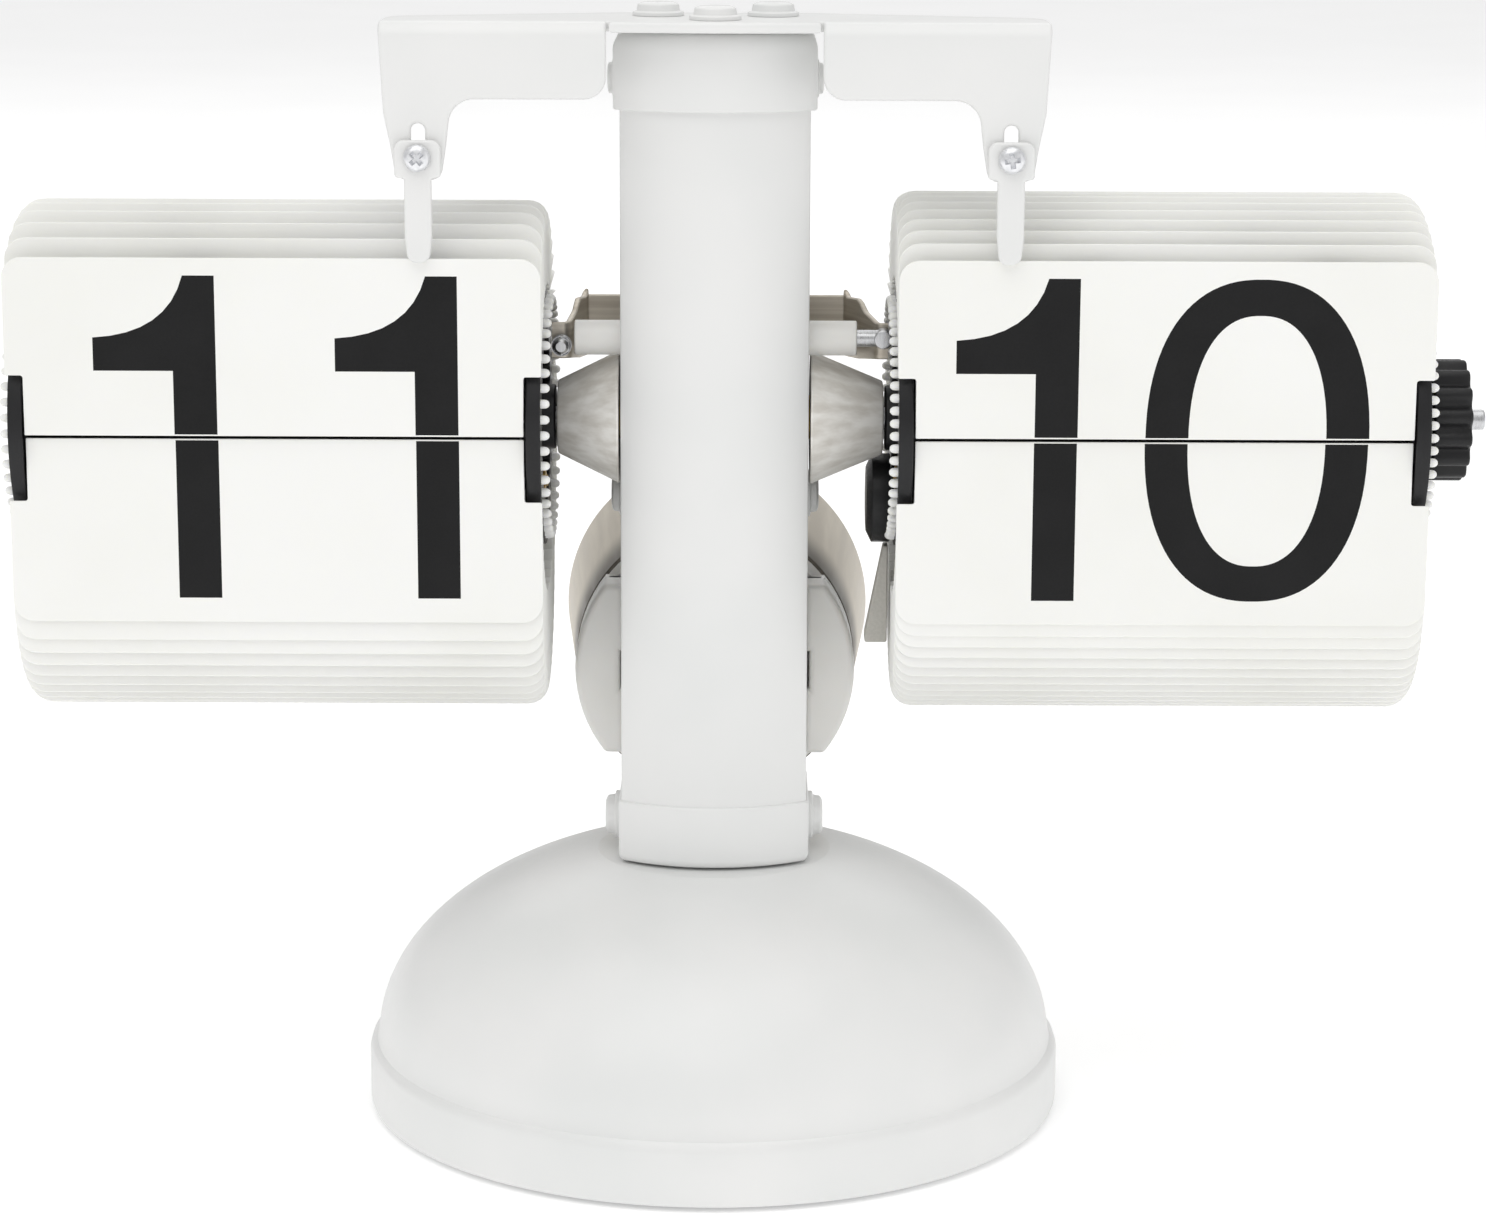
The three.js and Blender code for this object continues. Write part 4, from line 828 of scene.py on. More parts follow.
def glyph(digit, step):
    """One numeral as (solid, voids) shapes from its own left edge, centred in height."""
    height, width = NUMERAL["height"] / 2, NUMERAL["width"]
    stem, bar = NUMERAL["stem"], NUMERAL["bar"]
    half = stem / 2
    top = height - bar / 2
    mid = width / 2
    if digit == "0":
        solid = oval((mid, 0), (mid, height), step)
        void = oval((mid, 0), (mid - stem, height - bar), step)
        return [(solid, [void])]
    if digit == "1":
        right = NUMERAL["one_width"]
        left = right - stem
        crown = right - 4.25
        flag_low, flag_high = 9.2, 13.7
        curve = []
        for k in range(9):
            t = k / 8
            curve.append((
                2 * t * (1 - t) * (left - 0.6) + t * t * crown,
                (1 - t) ** 2 * flag_high + 2 * t * (1 - t) * (flag_high + 0.5) + t * t * height,
            ))
        return [([(right, height), *reversed(curve), (0, flag_low), (left, flag_low),
                  (left, -height), (right, -height)], [])]
    wide = mid - half
    low_y, low_r = -height + bar / 2 + 11.6, (wide, 11.6)
    high_y, high_r = top - 9.2, (wide - 0.9, 9.2)
    if digit == "8":
        upper = (mid, high_y + 0.6), (wide - 1.5, 8.6)
        lower = (mid, low_y - 0.6), (wide, 11.0)
        shapes = []
        for centre, radii in (upper, lower):
            outer = (radii[0] + half, radii[1] + bar / 2)
            inner = (radii[0] - half, radii[1] - bar / 2)
            shapes.append((oval(centre, outer, step), [oval(centre, inner, step)]))
        return shapes
    if digit in "69":
        sign = 1 if digit == "6" else -1
        bowl = (mid, sign * low_y), (wide, 11.6)
        outer = (bowl[1][0] + half, bowl[1][1] + bar / 2)
        inner = (bowl[1][0] - half, bowl[1][1] - bar / 2)
        tail = [(mid + sign * (x - mid), sign * y)
                for x, y in arc((mid, -3), (wide, top + 3), 38, 180, step)]
        return [(oval(bowl[0], outer, step), [oval(bowl[0], inner, step)]),
                (ribbon(tail, stem), [])]
    lines = {
        "2": arc((mid, high_y), high_r, 172, -38, step) + [(half + 0.5, -top)],
        "3": arc((mid, high_y), high_r, 165, -85, step),
        "4": [(width - 9, -height), (width - 9, height)],
        "5": [(width - 4, top), (7, top), (4.6, 1.5)],
        "7": [(0.6, top), (width - 2.6, top)] + arc((width + 8, -height), (26, 2 * height - 6),
                                                     122, 180, step),
    }
    extra = {
        "2": [(half - 2.4, -top), (width, -top)],
        "3": arc((mid, low_y), low_r, 95, -165, step),
        "4": [(0, -9.2), (width, -9.2)],
        "5": arc((mid - 0.6, low_y + 0.6), (wide, 12.2), 140, -160, step),
    }
    shapes = [(ribbon(lines[digit], stem), [])]
    if digit in extra:
        shapes.append((ribbon(extra[digit], bar if digit in "24" else stem), []))
    if digit == "4":
        shapes.append((ribbon([(2.2, -8.5), (width - 10.5, height - 2.2)], stem), []))
    return shapes


def printed_number(number, half, level, split, off_centre, step):
    """The half of a two-figure number that one face of a leaf carries.

    half is 1 for the upper half and -1 for the lower half, which is printed upside down.
    split is the height of the number's middle on the leaf, level where the ink ends."""
    figures = [glyph(digit, step) for digit in f"{number:02d}"]
    widths = [NUMERAL["one_width"] if d == "1" else NUMERAL["width"] for d in f"{number:02d}"]
    bearing = (NUMERAL["advance"] - NUMERAL["width"]) / 2 + 6.85
    starts = []
    for place, width in enumerate(widths):
        lead = bearing if width == NUMERAL["one_width"] else bearing - 6.85
        starts.append(place * NUMERAL["advance"] + lead)
    centre = (starts[0] + starts[1] + widths[1]) / 2 - off_centre
    shapes = []
    for start, figure in zip(starts, figures):
        for solid, voids in figure:
            moved = [[(x + start - centre, half * y + split) for x, y in loop]
                     for loop in (solid, *voids)]
            cut = [above(loop, level) for loop in moved]
            if len(cut[0]) > 2:
                shapes.append((cut[0], [loop for loop in cut[1:] if len(loop) > 2]))
    return shapes


# ---- Leaves ----------------------------------------------------------------------------

DISPLAYS = {
    "hour": {"leaves": 48, "phase": 0.1, "lean": 1.0, "off_centre": 0.4,
             "number": lambda leaf: (11 + leaf // 2) % 24},
    "minute": {"leaves": 60, "phase": 0.5, "lean": 0.86, "off_centre": -0.4,
               "number": lambda leaf: (10 + leaf) % 60},
}
SPLIT_LEVEL = 97.85  # height of the dark line between the halves of a number
NOTCH_HEIGHT = 8.5
NOTCH_WIDTH = 2.45


def leaf_solid(label, leaf, thickness, sizes, lip, reach, split, fine):
    """One leaf upright on its hinge line, its own number in front and the next behind.

    split holds the height of the number's middle on the front and on the back."""
    data = DISPLAYS[label]
    low, high = box(f"{label}_leaf")
    half = (high.x - low.x) / 2
    neck = half - NOTCH_WIDTH
    notch = NOTCH_HEIGHT + split[0]
    corner = sizes.leaf_corner / MM
    step = 4 if fine else 20
    outline = rounded([
        (-neck, -lip, 0.15), (neck, -lip, 0.15), (neck, notch, 0.4),
        (half, notch, 0.25), (half, reach, corner), (-half, reach, corner),
        (-half, notch, 0.25), (-neck, notch, 0.4),
    ], step=10 if fine else 22)
    level = -lip + 0.2
    front = printed_number(data["number"](leaf), 1, level, split[0], data["off_centre"], step)
    back = printed_number(data["number"](leaf + 1), -1, level, split[1], data["off_centre"],
                          step)
    edge = 0.08
    return slab(outline, -thickness / 2, thickness / 2, edge, lay="Y",
                steps=2 if fine else 1, prints=(front, back))


def hinge_height(label):
    for joint in frame["joints"]:
        if joint["name"] == f"{label}_leaf_fall":
            return joint["pos_m"][2] / MM
    raise RuntimeError(f"no hinge for the {label} leaf")


def display_centre(label):
    low, high = box(f"{label}_leaf")
    axis = [j for j in frame["joints"] if j["name"] == f"{label}_spin"][0]
    return Vector(((low.x + high.x) / 2, 0, axis["pos_m"][2] / MM))


def make_leaf_spool(label, sizes):
    """The fan and the hanging stack of one display, from one rule."""
    data = DISPLAYS[label]
    count = data["leaves"] - 2
    split = (SPLIT_LEVEL - hinge_height(label), -0.5)
    shelf = bpy.data.collections.new(f"{label} leaves")
    for leaf in range(1, count + 1):
        solid = leaf_solid(label, leaf, 0.35, sizes, 0.5, 24.3, split, False)
        shelf.objects.link(pattern_object(f"{label}_pattern_{leaf:02d}", solid))
    mesh = grow(f"{label}_leaf_spool", spool_tree(), {
        "Count": count, "Pitch": 2 * pi / data["leaves"], "Phase": radians(data["phase"]),
        "Pin Circle": sizes.pin_circle, "Lean": data["lean"], "Lag": sizes.leaf_lag,
        "Leaves": shelf,
        "Finish": finish(leaf_sheet), "Ink": finish(printing_ink),
    })
    mesh.transform(Matrix.Translation(display_centre(label) * MM))
    nodes = f"{label}_leaf_fan", f"{label}_leaf_stack"
    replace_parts(show(f"{label}_leaf_spool", mesh, [], *nodes), *nodes)
    for pattern in list(shelf.objects):
        bpy.data.objects.remove(pattern)
    bpy.data.collections.remove(shelf)


def make_single_leaf(label, node, leaf, thickness, edges, turn, place, sizes):
    """A leaf of its own body or at the front of the stack.

    edges are its hinged edge, its free edge and its number's middle, from the hinge line."""
    lip, reach, middle = edges
    bm = leaf_solid(label, leaf, thickness, sizes, lip, reach, (middle, -middle), True)
    bmesh.ops.rotate(bm, verts=bm.verts, matrix=Matrix.Rotation(turn, 3, "X"))
    bmesh.ops.translate(bm, verts=bm.verts, vec=place)
    mesh = to_mesh(f"{node}_printed", bm)
    ink_faces(mesh)
    piece = show(f"{node}_printed", mesh, [finish(leaf_sheet), finish(printing_ink)], node)
    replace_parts(piece, node)


# ---- Operators -------------------------------------------------------------------------


class FlipClockSizes(bpy.types.PropertyGroup):
    """Sizes that shape the pieces beyond the CAD frame."""

    leaf_corner: FloatProperty(
        name="Leaf corner", description="Corner radius of a leaf's free edge",
        default=0.0028, min=0.0, unit="LENGTH")
    pin_circle: FloatProperty(
        name="Pin circle", description="Radius of the circle of hinge pins",
        default=0.0164, min=0.001, unit="LENGTH")
    leaf_lag: FloatProperty(
        name="Leaf lag", description="Turn of a hinge before its leaf leans back",
        default=radians(2.7), subtype="ANGLE")
    bead_radius: FloatProperty(
        name="Pin end radius", description="Radius of a hinge pin's domed end",
        default=0.00062, min=0.0001, unit="LENGTH")
    bead_length: FloatProperty(
        name="Pin end length", description="How far a pin end stands out of its disc",
        default=0.0012, min=0.0001, unit="LENGTH")
    knob_ribs: IntProperty(
        name="Knob ribs", description="Ribs round the setting knob", default=15, min=3)
    edge: FloatProperty(
        name="Edge", description="Radius of painted sheet edges",
        default=0.0004, min=0.00005, unit="LENGTH")


class FlipClockColours(bpy.types.PropertyGroup):
    """Colours of the stage."""

    world: FloatVectorProperty(
        name="Room", description="Colour of the light from all round",
        default=(1.0, 1.0, 1.0), subtype="COLOR", min=0.0, max=1.0)
    key: FloatVectorProperty(
        name="Key light", description="Colour of the main soft light",
        default=(1.0, 0.995, 0.985), subtype="COLOR", min=0.0, max=1.0)


def area_light(name, place, target, size, power, colour=(1, 1, 1)):
    data = bpy.data.lights.new(name, "AREA")
    data.shape = "RECTANGLE"
    data.size, data.size_y = size
    data.energy = power
    data.color = colour
    lamp = bpy.data.objects.new(name, data)
    lamp.location = place
    direction = Vector(target) - Vector(place)
    lamp.rotation_euler = direction.to_track_quat("-Z", "Y").to_euler()
    bpy.context.scene.collection.objects.link(lamp)


class FLIPCLOCK_OT_stage(bpy.types.Operator):
    """Floor, lights and camera"""

    bl_idname = "flipclock.stage"
    bl_label = "Stage"

    def execute(self, context):
        colours = context.scene.flip_clock_colours
        bm = bmesh.new()
        reach = 6.0
        corners = [(-reach, -reach), (reach, -reach), (reach, reach), (-reach, reach)]
        bm.faces.new([bm.verts.new((x, y, -0.0004)) for x, y in corners])
        mesh = bpy.data.meshes.new("studio_floor")
        bm.to_mesh(mesh)
        bm.free()
        mesh.materials.append(finish(studio_paper))
        floor = bpy.data.objects.new("studio_floor", mesh)
        context.scene.collection.objects.link(floor)

        world = bpy.data.worlds.new("studio_room")
        world.use_nodes = True
        world.node_tree.nodes.clear()
        glow = add_node(world.node_tree, "ShaderNodeBackground", None, {
            "Color": (*colours.world, 1.0), "Strength": 0.6})
        add_node(world.node_tree, "ShaderNodeOutputWorld", None, {"Surface": glow.outputs[0]})
        context.scene.world = world
        aim = (0, 0, 0.08)
        area_light("key", (-0.25, -0.85, 1.35), aim, (1.4, 1.0), 5.4, colours.key)
        area_light("top", (0.0, 0.05, 1.7), aim, (1.4, 1.4), 6.5, colours.key)
        area_light("fill", (1.3, -0.7, 0.45), aim, (0.9, 0.9), 1.0)
        area_light("backlight", (0.0, 1.3, 1.1), aim, (1.6, 0.6), 3.0)

        data = bpy.data.cameras.new("camera")
        data.sensor_width = 36
        data.lens = 94.24
        data.clip_start = 0.01
        data.clip_end = 20
        camera = bpy.data.objects.new("camera", data)
        camera.matrix_world = (
            Matrix.Translation((0.004, -0.535, 0.187))
            @ Matrix.Rotation(radians(90 - 12.243), 4, "X")
            @ Matrix.Rotation(radians(0.22), 4, "Z")
        )
        context.scene.collection.objects.link(camera)
        context.scene.camera = camera
        context.scene.view_settings.view_transform = "Standard"
        return {"FINISHED"}


class FLIPCLOCK_OT_base(bpy.types.Operator):
    """Domed base shell, its plate, ballast and foot pad"""

    bl_idname = "flipclock.base"
    bl_label = "Base"

    def execute(self, context):
        low, high = box("base_dome")
        radius, top = high.x, high.z
        band, shoulder = 8.6, 9.5
        dome, rise, neck, wall = radius - 1.3, 28.5, 16.5, 1.5
        last = math.acos(neck / dome)
        arch = [(shoulder + rise * sin(last * k / 40), dome * cos(last * k / 40))
                for k in range(41)]
        inner = [(shoulder - wall + rise * sin(last * k / 20), (dome - wall) * cos(last * k / 20))
                 for k in range(21)]
        shell = [
            (low.z, radius - 0.5), (low.z + 0.15, radius - 0.15, 0.1), (low.z + 0.6, radius),
            (band - 0.9, radius), (band, radius - 0.28), (shoulder - 0.35, dome + 0.28),
            *arch[1:-1], (top, neck, 0.3), (top, 3.3), (top - wall, 3.3), *reversed(inner),
            (low.z + 0.2, radius - wall),
        ]
        stand_for("base_shell", turned(shell, steps=192, closed=True), finish(stove_enamel),
                  "base_dome")
        low, high = box("base_pad")
        pad = [(0, 0), (0, high.x, 0.4), (high.z, high.x, 0.3), (high.z, 0)]
        stand_for("foot_pad", turned(pad, steps=128), finish(sheet_rubber), "base_pad")
        low, high = box("base_plate")
        plate = [(low.z, 0), (low.z, high.x, 0.3), (high.z, high.x, 0.3), (high.z, 0)]
        stand_for("bottom_plate", turned(plate, steps=128), finish(plated_steel), "base_plate")
        for node, maker in (("base_ballast", grey_iron), ("column_bolt", plated_steel)):
            coat_cad_node(node, maker)
        return {"FINISHED"}


def coat_cad_node(node, maker):
    """A hidden inner CAD solid keeps its shape and gets its real finish."""
    solid = frame["nodes"][node]
    solid.data.materials.clear()
    solid.data.materials.append(finish(maker))


def column_outline(grow, corner=0.5):
    """The column's plan: flat back and sides, bowed front."""
    low, high = box("column")
    side, back, front = high.x + grow, high.y + grow, low.y - grow
    radius = 22.3 + grow
    centre = front + radius
    start = centre - math.sqrt(radius**2 - side**2)
    bow = math.asin(side / radius)
    face = [(radius * sin(bow * k / 10), centre - radius * cos(bow * k / 10))
            for k in range(-9, 10)]
    return rounded([(side, back, corner), (-side, back, corner), (-side, start, corner),
                    *face, (side, start, corner)], step=15)


class FLIPCLOCK_OT_column(bpy.types.Operator):
    """Column with its foot collar and cap"""

    bl_idname = "flipclock.column"
    bl_label = "Column"

    def execute(self, context):
        enamel = finish(stove_enamel)
        foot_low, foot_high = box("column_foot")
        low, high = box("column")
        collar = foot_high.x - high.x
        body = slab(column_outline(0), low.z - 3, high.z, 0.25,
                    holes=[column_outline(-1.5)])
        stand_for("column_shell", body, enamel, "column")
        foot = slab(column_outline(collar, 1.1), foot_low.z, low.z - 0.3, (1.1, 0.4), steps=5)
        stand_for("foot_collar", foot, enamel, "column_foot")
        cap_low, cap_high = box("column_cap")
        grow = cap_high.x - high.x
        cap = slab(column_outline(grow, 2.5), cap_low.z, cap_high.z, (0.3, 2.4), steps=7)
        stand_for("cap_shell", cap, enamel, "column_cap")
        return {"FINISHED"}


def bent_down(bm, start, radius, inner_edge):
    """Bends a flat arm plate down at its front line, outside its middle tongue."""
    for k in range(9):
        level = start + radius * pi / 2 * k / 8
        bmesh.ops.bisect_plane(
            bm, geom=bm.verts[:] + bm.edges[:] + bm.faces[:], dist=1e-5,
            plane_co=(0, level, 0), plane_no=(0, 1, 0),
        )
    for vert in bm.verts:
        x, along, depth = vert.co
        if along <= start or abs(x) < inner_edge:
            vert.co = (x, -along, -depth)
            continue
        if along < start + radius * pi / 2:
            turn = (along - start) / radius
            out, down = (radius - depth) * sin(turn), radius - (radius - depth) * cos(turn)
            vert.co = (x, -(start + out), -down)
        else:
            fall = along - start - radius * pi / 2 + radius
            vert.co = (x, -(start + radius - depth), -fall)


class FLIPCLOCK_OT_arm(bpy.types.Operator):
    """Pressed arm with two flanges and slotted legs"""

    bl_idname = "flipclock.arm"
    bl_label = "Arm"

    def execute(self, context):
        sizes = context.scene.flip_clock_sizes
        high = box("arm_bracket")[1]
        top, reach = high.z, high.x
        face, back = 17.4, -high.y
        leg, sheet, radius = 39.4, 1.4, 2.2
        start = face - radius

        def fall(depth):
            """Distance along the sheet to a point this far below the arm's top."""
            return start + radius * pi / 2 + depth - radius

        tongue = [(14.0 * k / 6, face + 0.8 * (1 - (k / 6) ** 2) - 0.02) for k in range(7)]
        half = [
            *tongue, (14.0, start - 0.4, 0.15), (14.4, start - 0.4, 0.15),
            (14.4, fall(10.2), 3.0), (leg - 4.4, fall(10.2), 3.6),
            (leg - 3.7, fall(16.5), 6), (leg - 3.0, fall(20.9), 1.6),
            (leg + 3.0, fall(20.9), 1.6), (leg + 3.7, fall(16.5), 6), (leg + 4.6, fall(12)),
            (reach, start + radius * 0.9, 1.2), (reach, 4.5, 5), (12.9, back, 2),
        ]
        outline = rounded([(-x, y, *r) for x, y, *r in reversed(half[1:])] + half, step=10)
        slots = [
            [(sign * leg + u, fall(16.5) + v) for u, v in arc((0, 2.15), (0.95, 0.95), 0, 180)
             + arc((0, -2.15), (0.95, 0.95), 180, 360)]
            for sign in (-1, 1)
        ]
        bm = slab(outline, 0, sheet, sizes.edge / MM, holes=slots, steps=3)
        bent_down(bm, start, radius, 14.2)
        bmesh.ops.translate(bm, verts=bm.verts, vec=(0, 0, top))
        stand_for("pressed_arm", bm, finish(stove_enamel), "arm_bracket")
        return {"FINISHED"}


def screw_head():
    """A pan-head screw along -Y from y = 0, with a cross recess, one unit across its radius."""
    arms = 0.19
    reach = 0.58
    cross = []
    for quarter in range(4):
        turn = quarter * pi / 2
        for u, v in ((arms, arms), (reach, arms), (reach, -arms)):
            cross.append((u * cos(turn) + v * sin(turn), -u * sin(turn) + v * cos(turn)))
    cross = counter_clockwise(cross)
    rim = circle(1.0, 48)
    bm = bmesh.new()
    bm.faces.layers.int.new("ink")
    levels = [(1.0, 0.0), (1.0, -0.22), (0.97, -0.33), (0.88, -0.47), (0.74, -0.57)]
    rings = [[bm.verts.new((share * u, depth, share * v)) for u, v in rim]
             for share, depth in levels]
    for ring, following in zip(rings, rings[1:]):
        for k in range(len(rim)):
            bm.faces.new((ring[k - 1], ring[k], following[k], following[k - 1]))
    mouth = [bm.verts.new((u, -0.63, v)) for u, v in cross]
    floor = [bm.verts.new((u * 0.62, -0.25, v * 0.62)) for u, v in cross]
    for k in range(len(cross)):
        bm.faces.new((mouth[k - 1], mouth[k], floor[k], floor[k - 1]))
    bm.faces.new(floor)
    bm.faces.new(list(reversed(rings[0])))
    outer = [(0.74 * u, 0.74 * v) for u, v in rim]
    points = outer + cross
    verts = rings[-1] + mouth
    edges = [(k, (k + 1) % len(outer)) for k in range(len(outer))]
    edges += [(len(outer) + k, len(outer) + (k + 1) % len(cross)) for k in range(len(cross))]
    found, _, faces, origin, _, _ = delaunay_2d_cdt(
        [Vector(p) for p in points], edges, [], 0, 1e-6)
    for triangle in faces:
        middle = sum((found[k] for k in triangle), Vector((0, 0))) / 3
        if not within(middle, cross):
            bm.faces.new([verts[origin[k][0]] for k in triangle])
    return bm


class FLIPCLOCK_OT_fingers(bpy.types.Operator):
    """Fingers that hold the front leaves, with their screws"""

    bl_idname = "flipclock.fingers"
    bl_label = "Fingers and screws"

    def execute(self, context):
        pattern = pattern_object("screw_pattern", screw_head())
        for label, sign in SIDES.items():
            low, high = box(f"{label}_finger")
            centre = (low.x + high.x) / 2
            head, stem = (high.x - low.x) / 2, 1.83
            foot = high.z - 6.5
            tip = low.z - 1.5
            corners = [
                (centre - head, high.z - 1.6, 1.3), (centre + head, high.z - 1.6, 1.3),
                (centre + head, foot, 0.5), (centre + stem, foot - 0.2, 0.3),
                (centre + stem, tip + 3.6, 4), (centre + 1.45, tip, 1.35),
                (centre - 1.45, tip, 1.35), (centre - stem, tip + 3.6, 4),
                (centre - stem, foot - 0.2, 0.3), (centre - head, foot, 0.5),
            ]
            outline = rounded(corners, step=8)
            blade = slab(outline, low.y, high.y, 0.35, lay="Y", steps=4)
            stand_for(f"{label}_finger_blade", blade, finish(stove_enamel), f"{label}_finger")
            node = f"{label}_finger_screw"
            low, high = box(node)
            radius = (high.x - low.x) / 2
            place = Vector(((low.x + high.x) / 2, low.y + 1.15, (low.z + high.z) / 2))
            marks = marks_mesh(f"{label}_screw_mark", [
                (place, (0, radians(20 - 28 * sign), 0), (radius, radius, radius))])
            screw = grow(f"{label}_pan_screw", marks_tree(), {
                "Copy": pattern, "Finish": finish(nickel), "Ink": finish(nickel)},
                marks)
            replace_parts(show(f"{label}_pan_screw", screw, [], node), node)
        bpy.data.objects.remove(pattern)
        return {"FINISHED"}


def rivet_head():
    """A flanged round head on z = 0, one unit in radius and height."""
    return turned([
        (-0.35, 0), (-0.35, 0.6), (0, 0.6), (0, 1.0, 0.05), (0.3, 1.0, 0.1), (0.36, 0.84, 0.05),
        (0.82, 0.8, 0.2), (1.0, 0.62, 0.2), (1.0, 0),
    ], steps=48, step=18)


class FLIPCLOCK_OT_rivets(bpy.types.Operator):
    """Painted rivets of the foot, column, cap and arm"""

    bl_idname = "flipclock.rivets"
    bl_label = "Rivets"

    def execute(self, context):
        nodes, marks = [], []
        for name in ("foot", "column", "cap"):
            for label, sign in (("left", -1), ("right", 1)):
                node = f"{name}_rivet_{label}"
                low, high = box(node)
                wall = box("column" if name == "column" else f"column_{name}")[1].x
                rise = (high.x if sign > 0 else -low.x) - wall
                radius = (high.z - low.z) / 2
                middle = (low + high) / 2
                marks.append(((sign * wall, middle.y, middle.z), (0, sign * pi / 2, 0),
                              (radius, radius, rise)))
                nodes.append(node)
        for name in ("front", "left", "right"):
            node = f"arm_rivet_{name}"
            low, high = box(node)
            radius = (high.x - low.x) / 2
            middle = (low + high) / 2
            rise = high.z - box("arm_bracket")[1].z
            marks.append(((middle.x, middle.y, high.z - rise), (0, 0, 0),
                          (radius, radius, rise)))
            nodes.append(node)
        pattern = pattern_object("rivet_pattern", rivet_head())
        mesh = grow("painted_rivets", marks_tree(), {
            "Copy": pattern, "Finish": finish(stove_enamel), "Ink": finish(stove_enamel)},
            marks_mesh("rivet_marks", marks))
        bpy.data.objects.remove(pattern)
        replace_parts(show("painted_rivets", mesh, [], *nodes), *nodes)
        return {"FINISHED"}


class FLIPCLOCK_OT_leaves(bpy.types.Operator):
    """All printed leaves of both displays"""

    bl_idname = "flipclock.leaves"
    bl_label = "Leaves"

    def execute(self, context):
        sizes = context.scene.flip_clock_sizes
        for label in SIDES:
            make_leaf_spool(label, sizes)
            centre = display_centre(label)
            low, high = box(f"{label}_leaf")
            hinge = hinge_height(label)
            place = (centre.x, (low.y + high.y) / 2, hinge)
            edges = (0.3, 23.8, SPLIT_LEVEL - hinge)
            make_single_leaf(label, f"{label}_leaf", 0, 0.4, edges, 0, place, sizes)
            low, high = box(f"{label}_lower_leaf")
            place = (centre.x, (low.y + high.y) / 2, high.z)
            edges = (0, 25.3, SPLIT_LEVEL - high.z)
            make_single_leaf(label, f"{label}_lower_leaf", -1, 0.35, edges, pi, place, sizes)
        return {"FINISHED"}


def ring_gear_outline(teeth, phase):
    """Inner teeth of a disc as one outline, of module 0.5 mm."""
    pitch_radius = teeth * 0.25
    points = []
    for tooth in range(teeth):
        for share, radius in ((-0.24, 0.6), (-0.09, -0.375), (0.09, -0.375), (0.24, 0.6)):
            angle = phase + 2 * pi * (tooth + share) / teeth
            points.append(((pitch_radius + radius) * cos(angle),
                           (pitch_radius + radius) * sin(angle)))
    return points


def pin_end(sizes):
    """A hinge pin along +X: a shank through the disc and a domed, dimpled end."""
    r, reach = sizes.bead_radius / MM, sizes.bead_length / MM
    return turned([
        (-0.4, 0), (-0.4, r), (reach * 0.4, r),
        (reach * 0.68, r * 0.92), (reach * 0.88, r * 0.68), (reach, r * 0.34),
        (reach - 0.06, r * 0.22), (reach - 0.16, 0),
    ], axis="X", steps=14)


